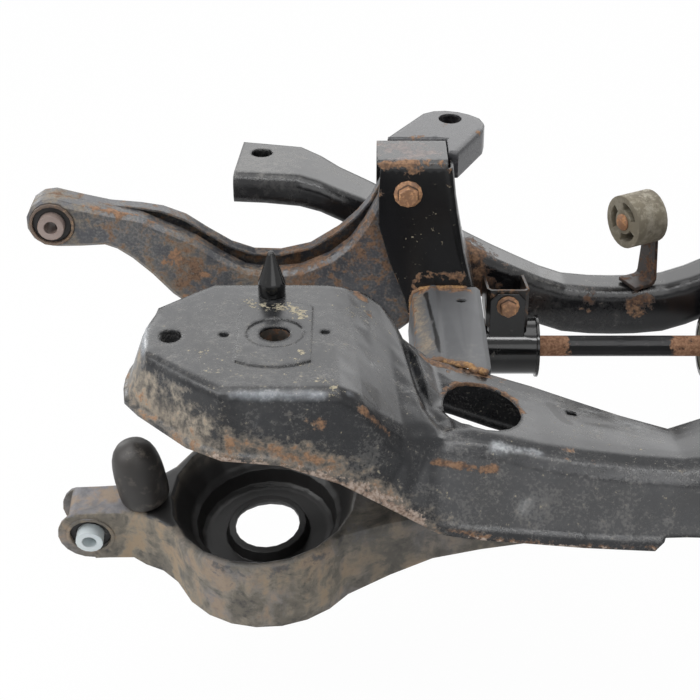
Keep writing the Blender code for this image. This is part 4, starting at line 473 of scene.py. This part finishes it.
def turned_piece(name, profile, place, material, node, body, steps=48):
    """Profile of (radius, height) rows swept round the Z axis of place."""
    bm = bmesh.new()
    rings = []
    for radius, height in profile:
        if radius < ON_AXIS:
            rings.append([bm.verts.new((0.0, 0.0, height))])
            continue
        turns = [2.0 * math.pi * i / steps for i in range(steps)]
        rings.append([bm.verts.new((radius * math.cos(turn), radius * math.sin(turn), height))
                      for turn in turns])
    for upper, lower in zip(rings, rings[1:] + rings[:1]):
        if len(upper) == 1 and len(lower) == 1:
            continue
        for i in range(steps):
            k = (i + 1) % steps
            corners = [upper[i % len(upper)], lower[i % len(lower)],
                       lower[k % len(lower)], upper[k % len(upper)]]
            bm.faces.new(list(dict.fromkeys(corners)))
    bmesh.ops.recalc_face_normals(bm, faces=bm.faces)
    bm.transform(place)
    mesh = bpy.data.meshes.new(name)
    bm.to_mesh(mesh)
    bm.free()
    mesh.materials.append(material)
    mesh.shade_smooth()
    mesh.set_sharp_from_angle(angle=TURNED_ANGLE)
    piece = bpy.data.objects.new(name, mesh)
    bpy.context.scene.collection.objects.link(piece)
    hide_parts(node)
    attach(piece, body)


def simple_coat(name, paint, gloss, dust_level=0.60, rust_level=0.62, rust=RUST, dust=DUST,
                edges=0.5):
    """Paint, rubber or steel with thin dust and scattered rust, which is denser on the edges."""
    coat = paint_coat(name, *paint, gloss)
    add_layer(coat, *dust, 0.60, dust_level, grain=("patch", "mottle"), crisp=0.06, upward=0.5,
              cover=0.7)
    add_layer(coat, *rust, 0.86, rust_level, 0.44, grain=("patch", "mottle"), crisp=0.03, lift=0.5,
              edges=edges)
    return close_coat(coat, ior=1.5)


# Thin dip paint on drawn tube, worn brown: a satin that mirrors little.
sleeve_paint = simple_coat("sleeve_paint", ("#3f3b37", "#57514a"), 0.45, 0.56, 0.55, OLD_RUST)
# Stove enamel on turned steel: near a mirror, so it stays black with sharp highlights.
cone_paint = simple_coat("black_cone_paint", ("#0c0c0d", "#141415"), 0.09, 0.70, 0.69, OLD_RUST,
                         edges=0.2)
cone_rows = [(0.0, 0.0459), (0.0018, 0.0457), (0.0028, 0.0450), (0.0036, 0.0425), (0.0122, 0.0160),
             (0.0132, 0.0136), (0.0135, 0.0120), (0.0135, 0.0008), (0.0130, 0.0), (0.0, 0.0)]
for side, sign in (("left", -1.0), ("right", 1.0)):
    clean_copy(side + "_mount_sleeve", "frame", sleeve_paint)
    place = Matrix.Translation((sign * CONE_PLACE[0], *CONE_PLACE[1:]))
    turned_piece(side + "_cone", cone_rows, place, cone_paint, side + "_locating_pin", "frame")


# Rear crossmember.
# A formed tube under glossy black paint, with rust at its ends and below the hanger.
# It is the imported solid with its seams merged.
TUBE_MARKS = {
    "film": ([(-0.40, 0.41, 0.0, 0.09, 1.0), (-0.33, 0.41, -0.01, 0.09, 0.9),
              (-0.26, 0.40, -0.04, 0.06, 0.6)],),
    "old_rust": ([(-0.437, 0.365, -0.015, 0.03, 0.4), (-0.1687, 0.3764, -0.0995, 0.050, 1.1),
                  (-0.1610, 0.3670, -0.1400, 0.055, 1.2), (-0.10, 0.373, -0.17, 0.04, 0.5),
                  (-0.03, 0.375, -0.165, 0.035, 0.95), (0.0, 0.374, -0.195, 0.05, 0.5)],),
    "rust": ([(-0.1687, 0.3764, -0.0995, 0.040, 1.1), (-0.1633, 0.3670, -0.1300, 0.045, 1.0),
              (-0.03, 0.372, -0.180, 0.030, 0.9)],),
}


def tube_finish():
    """Black dip paint on formed tube: glossy, so the room and the lights show in it."""
    coat = paint_coat("black_tube_paint", "#131315", "#1e1e20", 0.20, 0.0045)
    add_layer(coat, *DUST, 0.55, 0.610, 0.47, "film", ("broad", "mottle"), crisp=0.10, upward=0.6,
              cover=0.5)
    add_layer(coat, *OLD_RUST, 0.85, 0.700, 0.43, "old_rust", ("patch", "mottle"), crisp=0.05,
              lift=0.5)
    add_layer(coat, *RUST, 0.85, 0.700, 0.46, "rust", ("patch", "mottle"), crisp=0.04, lift=0.5)
    return close_coat(coat)


clean_copy("rear_crossmember", "frame", tube_finish(), TUBE_MARKS, angle=60.0)


# Towers, side rails, upper mount arms and lower clevises.
# Folded sheet under black paint that has flaked to rust on the folds and round the bolts.
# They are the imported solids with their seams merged.
TOWER_MARKS = {
    "film": ([(-0.255, 0.292, 0.060, 0.06, 1.0)],),
    "clay": ([(-0.235, 0.262, -0.02, 0.05, 0.4)],),
    "rust": ([(-0.262, 0.262, 0.045, 0.030, 0.65), (-0.2516, 0.262, 0.0293, 0.022, 0.6),
              (-0.281, 0.28, 0.059, 0.030, 0.6), (-0.205, 0.262, 0.04, 0.020, 0.6)],
             [([(-0.283, 0.262, 0.058), (-0.203, 0.262, 0.058)], 0.020, 0.95),
              ([(-0.1765, 0.345, -0.075), (-0.1753, 0.3452, -0.110), (-0.1753, 0.330, -0.150)],
               0.022, 1.0),
              ([(-0.283, 0.262, 0.052), (-0.283, 0.262, 0.020)], 0.008, 0.65),
              ([(-0.2447, 0.2620, -0.100), (-0.2400, 0.2620, -0.078), (-0.2309, 0.2620, -0.0706),
                (-0.1901, 0.2620, -0.0760)], 0.013, 1.0)]),
}
RAIL_MARKS = {
    "flank": ([],
              [([(-0.2434, 0.2500, -0.0960), (-0.2387, 0.1844, -0.0937),
                 (-0.2333, 0.1200, -0.0911)], 0.020, 1.0)]),
    "groove": ([],
               [([(-0.2300, 0.2480, -0.0900), (-0.2235, 0.1501, -0.0865),
                  (-0.2200, 0.1148, -0.0865)],
                 0.0075, 1.0)]),
    "film": ([(-0.20, 0.10, -0.088, 0.05, 0.8)],),
    "rust": ([(-0.1924, 0.2298, -0.088, 0.010, 0.6)],
             [([(-0.2440, 0.255, -0.100), (-0.2430, 0.170, -0.100), (-0.2420, 0.120, -0.100)],
               0.016, 0.85),
              ([(-0.2440, 0.257, -0.092), (-0.2300, 0.257, -0.089), (-0.1850, 0.257, -0.089)],
               0.014, 1.0),
              ([(-0.2400, 0.112, -0.088), (-0.2066, 0.0974, -0.0882), (-0.175, 0.080, -0.0900)],
               0.013, 1.0)]),
}
MOUNT_ARM_MARKS = {
    "film": ([(-0.20, 0.36, 0.05, 0.09, 0.8)],),
    "rust": ([(-0.208, 0.365, 0.059, 0.020, 0.7), (-0.24, 0.335, 0.057, 0.030, 0.65),
              (-0.170, 0.35, 0.055, 0.02, 0.6)],),
}


def tower_finish():
    """Black dip paint on folded sheet: glossy where whole, flaked to matt rust on the folds."""
    coat = paint_coat("black_tower_paint", "#141415", "#1d1d1f", 0.22)
    add_layer(coat, "#6a6060", "#998a84", 0.60, 0.62, 0.44, "film", ("patch", "mottle"), crisp=0.06,
              cover=0.70,
              upward=1.0)
    add_layer(coat, *CLAY, 0.80, 0.655, 0.55, "clay", ("mottle", "fine"), crisp=0.015, lift=0.2,
              cover=0.8)
    add_layer(coat, *RUST, 0.86, 0.690, 0.44, "rust", ("patch", "mottle"), crisp=0.028, lift=0.6,
              edges=0.55)
    return close_coat(coat)


def rail_finish():
    """Dip paint dulled grey: satin, with a dark groove, clay on its flank and rusty edges."""
    coat = paint_coat("grey_rail_paint", "#58595b", "#636466", 0.55)
    add_layer(coat, *DUST, 0.55, 0.62, 0.44, "film", ("broad", "mottle"), crisp=0.09, upward=0.8,
              cover=0.35)
    add_layer(coat, "#857765", "#a8977e", 0.70, 0.700, 0.42, "flank", ("patch", "mottle"),
              crisp=0.10, cover=0.65)
    add_layer(coat, "#141415", "#222223", 0.35, 0.900, 0.30, "groove", ("patch", "broad"),
              crisp=0.07, cover=0.9)
    add_layer(coat, *RUST, 0.86, 0.70, 0.43, "rust", ("patch", "mottle"), crisp=0.045, lift=0.6,
              edges=0.35)
    return close_coat(coat)


def mount_arm_finish():
    """Black dip paint with a slight blue: glossy, with rust round the hole."""
    coat = paint_coat("black_mount_arm_paint", "#232327", "#303034", 0.24)
    add_layer(coat, "#565659", "#727173", 0.48, 0.58, 0.42, "film", ("broad", "mottle"), crisp=0.09,
              cover=0.25)
    add_layer(coat, *RUST, 0.86, 0.69, 0.44, "rust", ("patch", "mottle"), crisp=0.028, lift=0.5,
              edges=0.4)
    return close_coat(coat)


tower_paint = tower_finish()
rail_paint = rail_finish()
mount_arm_paint = mount_arm_finish()
for side in ("left", "right"):
    clean_copy(side + "_tower", "frame", tower_paint, TOWER_MARKS)
    clean_copy(side + "_side_rail", "frame", rail_paint, RAIL_MARKS)
    clean_copy(side + "_top_mount_arm", "frame", mount_arm_paint, MOUNT_ARM_MARKS)
    clean_copy(side + "_lower_clevis", "frame", tower_paint)


# Weld beads.
# Arc welds that join each side rail to the beam in front and to the tower behind.
# A small lump is laid every few millimetres along each seam; the steel has gone orange.
BEAD_LEAST = (0.80, 0.80, 0.55)
BEAD_MOST = (1.20, 1.15, 0.85)
# The rail's foot is found with plumb lines: where they start, how many, and how far apart.
FOOT_START, FOOT_POINTS, FOOT_STEP = -0.2400, 14, 0.0048
PLUMB_START, PLUMB_LINES, PLUMB_STEP = 0.0600, 60, 0.0012
PLUMB_TOP = 0.2
# The bead's middle lies this far before the rail's edge and below its face.
BEAD_FORWARD, BEAD_DOWN = 0.0004, 0.0008
COLLAR_LINE = [(-0.2452, 0.2612, -0.1250), (-0.2452, 0.2612, -0.1020), (-0.2425, 0.2612, -0.0950),
               (-0.2350, 0.2612, -0.0905), (-0.2250, 0.2612, -0.0890), (-0.1870, 0.2612, -0.0890)]


def bead_tree():
    """Geometry nodes: lumps of one size and pitch along a line, each a little different."""
    tree = bpy.data.node_groups.new("weld_bead", "GeometryNodeTree")
    face = tree.interface
    face.new_socket("Geometry", in_out="INPUT", socket_type="NodeSocketGeometry")
    face.new_socket("Bead radius", in_out="INPUT", socket_type="NodeSocketFloat")
    face.new_socket("Pitch", in_out="INPUT", socket_type="NodeSocketFloat")
    face.new_socket("Seed", in_out="INPUT", socket_type="NodeSocketInt")
    face.new_socket("Finish", in_out="INPUT", socket_type="NodeSocketMaterial")
    face.new_socket("Geometry", in_out="OUTPUT", socket_type="NodeSocketGeometry")
    given = add_node(tree, "NodeGroupInput", output=None).outputs
    curve = add_node(tree, "GeometryNodeMeshToCurve", {0: given["Geometry"]})
    steps = add_node(tree, "GeometryNodeResampleCurve", {"Curve": curve, "Length": given["Pitch"]},
                     mode="LENGTH")
    lump = add_node(tree, "GeometryNodeMeshIcoSphere",
                    {"Radius": given["Bead radius"], "Subdivisions": 2})
    sizes = add_node(tree, "FunctionNodeRandomValue",
                     {"Min": BEAD_LEAST, "Max": BEAD_MOST, "Seed": given["Seed"]},
                     data_type="FLOAT_VECTOR")
    lumps = add_node(tree, "GeometryNodeInstanceOnPoints",
                     {"Points": steps, "Instance": lump, "Scale": sizes})
    real = add_node(tree, "GeometryNodeRealizeInstances", {0: lumps})
    done = add_node(tree, "GeometryNodeSetMaterial",
                    {"Geometry": real, "Material": given["Finish"]})
    add_node(tree, "NodeGroupOutput", {0: done}, output=None)
    return tree


def weld_bead(name, points, body, material, radius, pitch, seed):
    """A bead along the points of a seam, told on the left side, and its twin on the other."""
    for sign in (1.0, -1.0):
        line = bpy.data.meshes.new(name)
        steps = [(i, i + 1) for i in range(len(points) - 1)]
        line.from_pydata([(x * sign, y, z) for x, y, z in points], steps, [])
        guide = bpy.data.objects.new(name + "_guide", line)
        bpy.context.scene.collection.objects.link(guide)
        nodes = guide.modifiers.new("bead", "NODES")
        nodes.node_group = BEADS
        values = {"Bead radius": radius, "Pitch": pitch, "Seed": seed, "Finish": material}
        for item in BEADS.interface.items_tree:
            if item.in_out == "INPUT" and item.name in values:
                nodes[item.identifier] = values[item.name]
        done = guide.evaluated_get(bpy.context.evaluated_depsgraph_get())
        mesh = bpy.data.meshes.new_from_object(done)
        bpy.data.objects.remove(guide)
        mesh.shade_smooth()
        piece = bpy.data.objects.new(name + ("_left" if sign > 0.0 else "_right"), mesh)
        bpy.context.scene.collection.objects.link(piece)
        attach(piece, body)


def rail_foot_line():
    """Where the rail's front edge lies on the beam."""
    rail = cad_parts["left_side_rail"].data
    surface = BVHTree.FromPolygons([v.co for v in rail.vertices],
                                   [tuple(p.vertices) for p in rail.polygons])
    points = []
    for i in range(FOOT_POINTS):
        x = FOOT_START + FOOT_STEP * i
        for k in range(PLUMB_LINES):
            y = PLUMB_START + PLUMB_STEP * k
            hit = surface.ray_cast(Vector((x, y, PLUMB_TOP)), Vector((0.0, 0.0, -1.0)))[0]
            if hit is not None:
                points.append((x, y - BEAD_FORWARD, hit.z - BEAD_DOWN))
                break
    return points


BEADS = bead_tree()
# Bare weld steel gone orange: matt and rough.
weld_rust = simple_coat("orange_weld_steel", ("#6f5440", "#8d6d52"), 0.75, 0.58, 0.52,
                        ("#86643f", "#b98f60"))
weld_bead("rail_front_weld", rail_foot_line(), "frame", weld_rust, 0.0042, 0.0034, 3)
weld_bead("rail_collar_weld", COLLAR_LINE, "frame", weld_rust, 0.0028, 0.0028, 5)


# Stabiliser bar with its clamps and brackets.
# A round steel bar, painted black, held by rubber bushes in pressed clamps.
# The paint is burnt brown beside each clamp, where the bushes have worked on it.
BAR_MARKS = {
    "rust": ([(-0.225, 0.212, -0.198, 0.02, 0.7)],
             [([(-0.100, 0.318, -0.198), (-0.078, 0.318, -0.198)], 0.032, 1.5)]),
}


def bar_finish():
    """Black paint on round bar: satin, so one soft highlight runs along it."""
    coat = paint_coat("black_bar_paint", "#161617", "#212123", 0.32)
    add_layer(coat, *DUST, 0.55, 0.61, grain=("patch", "mottle"), crisp=0.08, upward=0.7, cover=0.4)
    add_layer(coat, "#7d5a45", "#ab8468", 0.85, 0.70, 0.40, "rust", ("patch", "mottle"), crisp=0.04,
              lift=0.4)
    return close_coat(coat, ior=1.30)


bar_paint = bar_finish()
# Stove enamel on pressed strip: glossy, with dark rust on its edges.
clamp_paint = simple_coat("black_clamp_paint", ("#121213", "#1d1d1e"), 0.12, 0.62, 0.645, OLD_RUST,
                          edges=0.35)
# Thin paint, half lost to rust: brown and satin.
bracket_paint = simple_coat("rusty_bracket_paint", ("#1f1c1b", "#2d2826"), 0.35, 0.60, 0.565, RUST,
                            edges=0.6)
# Old natural rubber: matt olive grey.
bush_rubber = simple_coat("aged_bush_rubber", ("#47453a", "#57543f"), 0.70, 0.55, 0.72, OLD_RUST,
                          edges=0.0)
clean_copy("stabiliser_bar", "stabiliser_bar", bar_paint, BAR_MARKS)
for side in ("left", "right"):
    clean_copy(side + "_bar_clamp", "frame", clamp_paint)
    clean_copy(side + "_bar_clamp_bracket", "frame", bracket_paint)
    clean_copy(side + "_bar_bush", "frame", bush_rubber)


# Exhaust hanger.
# A moulded rubber block with three openings, on a headed pin in a welded strap.
# The rubber is bleached by weather; the strap is rusty where it is welded to the tube.
hanger_rubber = simple_coat("weathered_hanger_rubber", ("#6b6355", "#857c69"), 0.75, 0.53, 0.74,
                            OLD_RUST,
                            dust=("#a39b88", "#bdb6a6"), edges=0.0)
# Thin paint over rusty strip: dull dark brown.
strap_paint = simple_coat("rusty_strap_paint", ("#2c2522", "#3a302b"), 0.45, 0.62, 0.52, OLD_RUST,
                          edges=0.6)
# Zinc plate turned to orange rust: dull, with paler grains.
rusty_steel = simple_coat("rusty_bolt_steel", ("#7a5a45", "#9c7152"), 0.55, 0.60, 0.50,
                          ("#8c5f40", "#cf9a6c"),
                          dust=("#9d8b78", "#b5a797"), edges=0.4)
clean_copy("exhaust_hanger_rubber", "frame", hanger_rubber)
clean_copy("exhaust_hanger_bracket", "frame", strap_paint)
clean_copy("exhaust_hanger_pin", "frame", rusty_steel)


# Pivot bolts, nuts and clamp bolts.
# Flanged hexagon bolts whose zinc has turned to orange rust.
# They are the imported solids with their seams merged.
# The hexagon's foot: how far behind the bolt's face it lies, and how far out from its axis.
FOOT_DEPTHS = (0.0065, 0.0105)
FOOT_SHARE = 0.40


def hex_foot_shade(points, facing):
    """1 where the hexagon stands on its flange, the ring painted dark as shade; 0 at the flange's
    edge and on the head.
    """
    low, high = points.min(axis=0), points.max(axis=0)
    middle = 0.5 * (low + high)
    away = np.hypot(points[:, 0] - middle[0], points[:, 2] - middle[2])
    depth = points[:, 1] - low[1]
    inner = away < FOOT_SHARE * (high[0] - low[0])
    return np.where(inner & (depth > FOOT_DEPTHS[0]) & (depth < FOOT_DEPTHS[1]), 1.0, 0.0)


def bolt_finish():
    """Zinc plate turned to orange rust: satin on the faces, with painted shade in a dark ring where
    the hexagon stands on its flange.
    """
    coat = paint_coat("orange_bolt_steel", "#86644b", "#a87c5b", 0.50)
    add_layer(coat, "#8c5f40", "#d4a276", 0.75, 0.500, grain=("patch", "mottle"), crisp=0.06,
              lift=0.4, edges=0.6)
    # Painted shade: a dark brown ring in the crevice where the hexagon meets its flange.
    add_layer(coat, "#33251c", "#4b3628", 0.85, 0.900, 0.30, "foot", ("patch", "broad"), crisp=0.10,
              cover=0.9)
    return close_coat(coat)


bolt_steel = bolt_finish()
for side in ("left", "right"):
    for node in ("_upper_pivot_bolt", "_clamp_bolt"):
        clean_copy(side + node, "frame", bolt_steel, {"foot": hex_foot_shade}, grid=0.02)
    for node in ("_lower_pivot_bolt", "_upper_pivot_nut", "_upper_inner_sleeve",
                 "_lower_inner_sleeve"):
        clean_copy(side + node, "frame", rusty_steel)


# Upper arms.
# Two pressed halves back to back, under dull blue-black paint, with a rubber bush at each end.
# Rust follows the seam and sits in round patches where stones have hit.
UPPER_MARKS = {
    "film": ([(-0.55, 0.276, -0.04, 0.06, 0.6), (-0.44, 0.276, -0.09, 0.05, 0.5)],),
    "grime": ([(-0.637, 0.270, -0.010, 0.060, 1.3), (-0.490, 0.276, -0.070, 0.060, 0.8),
               (-0.400, 0.276, -0.100, 0.080, 0.8)],
              [([(-0.62, 0.276, -0.045), (-0.55, 0.276, -0.070), (-0.50, 0.276, -0.110),
                 (-0.43, 0.276, -0.140)],
                0.022, 1.0)]),
    "old_rust": ([(-0.36, 0.30, -0.075, 0.09, 0.75), (-0.30, 0.29, -0.05, 0.06, 0.8),
                  (-0.48, 0.276, -0.085, 0.06, 0.6)],),
    "rust": ([(-0.511, 0.276, -0.060, 0.028, 1.0), (-0.470, 0.276, -0.082, 0.018, 0.85),
              (-0.440, 0.276, -0.088, 0.016, 0.7), (-0.637, 0.270, -0.01, 0.036, 0.65)],
             [([(-0.60, 0.281, 0.002), (-0.53, 0.283, -0.017), (-0.49, 0.283, -0.045),
                (-0.43, 0.283, -0.072),
                (-0.36, 0.283, -0.082), (-0.32, 0.283, -0.065), (-0.295, 0.283, -0.02)], 0.009,
               0.8),
              ([(-0.50, 0.276, -0.105), (-0.44, 0.276, -0.125)], 0.018, 0.7)]),
}


def upper_finish():
    """Dull blue-black paint on pressed sheet: satin where whole, matt under dirt and rust."""
    coat = paint_coat("dull_upper_arm_paint", "#333439", "#4b4c51", 0.36)
    add_layer(coat, *DUST, 0.60, 0.525, 0.45, "film", ("patch", "fine"), crisp=0.10, cover=0.55)
    # Ochre road dirt, thickest round the eye, along the lower edge and on the folds.
    add_layer(coat, "#786d5e", "#a1937b", 0.80, 0.600, 0.42, "grime", ("patch", "mottle"),
              crisp=0.10, edges=0.6,
              cover=0.60, tint=("patch", "mottle"))
    add_layer(coat, "#4a382b", "#7d5f48", 0.86, 0.565, 0.43, "old_rust", ("patch", "mottle"),
              crisp=0.06, lift=0.3, edges=0.3)
    add_layer(coat, "#6f5644", "#9a7558", 0.88, 0.69, 0.44, "rust", ("patch", "mottle"),
              crisp=0.028, lift=0.5,
              edges=0.35)
    return close_coat(coat)


upper_paint = upper_finish()
# Bush rubber with carbon black: matt and dark.
dark_rubber = simple_coat("black_bush_rubber", ("#171616", "#211f1f"), 0.60, 0.62, 0.74, OLD_RUST,
                          edges=0.0)
# Bare steel tube with a brown bloom: satin and pale.
bare_sleeve = simple_coat("dull_sleeve_steel", ("#83736d", "#9a8a83"), 0.42, 0.58, 0.60, RUST,
                          dust=("#a3938c", "#bfb2ab"))
# Steel eye under dirt and rust: dull brown.
eye_steel = simple_coat("rusty_eye_steel", ("#5a4c42", "#77665a"), 0.60, 0.57, 0.52,
                        ("#6a5341", "#9c8268"), edges=0.5)
for side in ("left", "right"):
    body = side + "_upper_arm"
    clean_copy(side + "_upper_arm_front_half", body, upper_paint, UPPER_MARKS)
    clean_copy(side + "_upper_arm_rear_half", body, upper_paint, UPPER_MARKS)
    clean_copy(side + "_upper_outer_eye", body, eye_steel)
    clean_copy(side + "_upper_outer_rubber", body, dark_rubber)
    clean_copy(side + "_upper_outer_sleeve", body, bare_sleeve)
    clean_copy(side + "_upper_inner_rubber", body, dark_rubber)


# Lower arms.
# Deep pressed arms with a stepped spring seat, black inside where the spring kept it clean.
# Outside, thin rust and clay cover the paint, streaked down the walls. The flat sheet left of the
# seat is kept black as painted shadow.
SEAT = (-0.4000, 0.0060)
SEAT_INNER = 0.086
SEAT_OUTER = 0.100
INNER_SHARE = 0.7
STEEP = 0.15
UP_SHARE = 0.6
# Sheet left of the seat that stays dark as painted shadow: how far left it starts and ends, and its
# front.
PAINTED_SHADOW_LEFT = (0.115, 0.045)
PAINTED_SHADOW_FRONT = -0.030
FACES_UP = 0.7
# Right of the seat the clay thins out: where that starts, over what length, and how much.
THIN_START, THIN_LENGTH, THIN_SHARE = 0.060, 0.050, 0.7
FORK_START, FORK_LENGTH, FORK_UP = 0.125, 0.012, 0.6


def outside_seat(points, facing):
    """0 inside the spring seat, and on the sheet left of it as painted shadow; 1 on walls, rim and
    fork.
    """
    x, y, up = points[:, 0], points[:, 1], facing[:, 2]
    out = points[:, :2] - np.array(SEAT)
    away = np.linalg.norm(out, axis=1)
    rim = np.clip((away - SEAT_INNER) / (SEAT_OUTER - SEAT_INNER), 0.0, 1.0)
    turned_out = (out * facing[:, :2]).sum(axis=1) / np.maximum(away, 0.001) - up * UP_SHARE
    behind_stop = (x < SEAT[0] - PAINTED_SHADOW_LEFT[1]) & (x > SEAT[0] - PAINTED_SHADOW_LEFT[0])
    # Painted shadow: the up-facing sheet behind the bump stop keeps the bare dark paint.
    painted_shadow_sheet = behind_stop & (y > PAINTED_SHADOW_FRONT) & (up > FACES_UP)
    walls = (turned_out > STEEP) & (away > SEAT_INNER * INNER_SHARE)
    outside = np.where(walls, 1.0, np.where(painted_shadow_sheet, 0.0, rim))
    thin = np.clip((x - SEAT[0] - THIN_START) / THIN_LENGTH, 0.0, 1.0) * np.clip(up + 0.9, 0.0, 1.0)
    return outside * (1.0 - THIN_SHARE * thin)


def fork_top(points, facing):
    """1 on the plate on top of the fork."""
    left = np.clip((SEAT[0] - FORK_START - points[:, 0]) / FORK_LENGTH, 0.0, 1.0)
    return left * (facing[:, 2] > FORK_UP)


LOWER_MARKS = {"outside": outside_seat, "fork": fork_top,
               "ring": ([(-0.575, -0.012, -0.22, 0.045, 0.9), (-0.47, -0.03, -0.22, 0.06, 0.5),
                         (-0.34, -0.085, -0.21, 0.06, 0.6)],),
               "chips": ([(-0.43, -0.085, -0.205, 0.035, 1.0), (-0.38, -0.090, -0.205, 0.035, 1.0),
                          (-0.34, -0.075, -0.200, 0.040, 0.9), (-0.30, -0.050, -0.200, 0.060, 1.0),
                          (-0.24, -0.040, -0.200, 0.070, 1.0)],)}


def lower_finish():
    """Brown-black paint on pressed sheet: satin inside the seat, matt under clay outside it."""
    coat = paint_coat("brown_lower_arm_paint", "#1b1a1a", "#262525", 0.42)
    tree = coat["tree"]
    outside = add_node(tree, "ShaderNodeAttribute", output="Fac", attribute_name="outside")
    # Clay and rust run down the walls; the streaks' cells are 17 mm wide and 76 mm long.
    drawn = add_node(tree, "ShaderNodeMapping",
                     {"Vector": coat["place"], "Scale": (1.0, 1.0, 0.22)})
    streaks = add_node(tree, "ShaderNodeTexNoise",
                       {"Vector": drawn, "Scale": 60.0, "Detail": 5.0, "Roughness": 0.6,
                        "Distortion": 0.0})
    both = add_node(tree, "ShaderNodeMath", {0: coat["noise"]["patch"], 1: streaks},
                    operation="ADD")
    coat["noise"]["streak"] = add_node(tree, "ShaderNodeMath", {0: both, 1: 0.5},
                                       operation="SUBTRACT")
    shares = {}
    for layer, share in (("clay", 0.95), ("fork", 0.85), ("ring", 0.65), ("chips", 0.85)):
        shares[layer] = add_node(tree, "ShaderNodeMath", {0: outside, 1: share},
                                 operation="MULTIPLY")
    # Olive clay over nearly all the outside, grey where it is thin, ochre in streaks, dark chips.
    add_layer(coat, "#6b655b", "#8d8577", 0.80, 0.400, grain=("patch", "mottle"), crisp=0.10,
              cover=shares["clay"], lift=0.15, tint=("streak", "patch"))
    add_layer(coat, "#6a6a70", "#807f84", 0.70, 0.545, 0.41, "fork", ("patch", "broad"), crisp=0.08,
              cover=shares["fork"], tint=("patch", "mottle"))
    add_layer(coat, "#7a6550", "#988165", 0.85, 0.565, 0.45, "ring", ("streak", "patch"),
              crisp=0.09,
              edges=0.25, cover=shares["ring"], lift=0.15, tint=("streak", "mottle"))
    add_layer(coat, "#2c2d31", "#45464b", 0.50, 0.700, 0.45, "chips", ("patch", "mottle"),
              crisp=0.05,
              cover=shares["chips"])
    return close_coat(coat)


lower_paint = lower_finish()
# Zinc-plated steel, still bright: pale blue-grey, satin.
zinc = simple_coat("zinc_sleeve_steel", ("#c3cdd0", "#dbe2e3"), 0.32, 0.58, 0.80, RUST,
                   dust=("#aab4b6", "#e8ecec"),
                   edges=0.0)
stop_rows = [(0.0, 0.0738), (0.0030, 0.0737), (0.0062, 0.0727), (0.0078, 0.0716), (0.0125, 0.0698),
             (0.0168, 0.0664),
             (0.0203, 0.0610), (0.0226, 0.0545), (0.0240, 0.0465), (0.0248, 0.0380),
             (0.0251, 0.0300),
             (0.0251, 0.0120), (0.0246, 0.0050), (0.0230, 0.0012), (0.0206, 0.0), (0.0, 0.0)]


def stop_place(side):
    """Foot of the bump stop, with its Z axis up the rubber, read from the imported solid."""
    points = point_values(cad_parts[side + "_bump_stop"].data, "co")
    middle = points.mean(axis=0)
    axis = np.linalg.svd(points - middle)[2][0]
    axis = axis if axis[2] > 0.0 else -axis
    foot = ((points - middle) @ axis).min()
    place = middle + axis * foot
    return Matrix.Translation(Vector(place)) @ Vector(axis).to_track_quat("Z",
                                                                          "Y").to_matrix().to_4x4()


# Moulded rubber with carbon black: a dull sheen and a film of dust.
stop_rubber = simple_coat("bump_stop_rubber", ("#221f1d", "#2f2b28"), 0.50, 0.57, 0.78, OLD_RUST,
                          dust=("#57514b", "#6b645c"), edges=0.0)
for side in ("left", "right"):
    body = side + "_lower_arm"
    clean_copy(side + "_lower_arm", body, lower_paint, LOWER_MARKS)
    clean_copy(side + "_lower_outer_rubber", body, dark_rubber)
    clean_copy(side + "_lower_outer_sleeve", body, zinc)
    clean_copy(side + "_lower_inner_rubber", body, dark_rubber)
    turned_piece(side + "_stop", stop_rows, stop_place(side), stop_rubber, side + "_bump_stop",
                 body, 64)
    clean_copy(side + "_lower_arm_plug", body, dark_rubber)
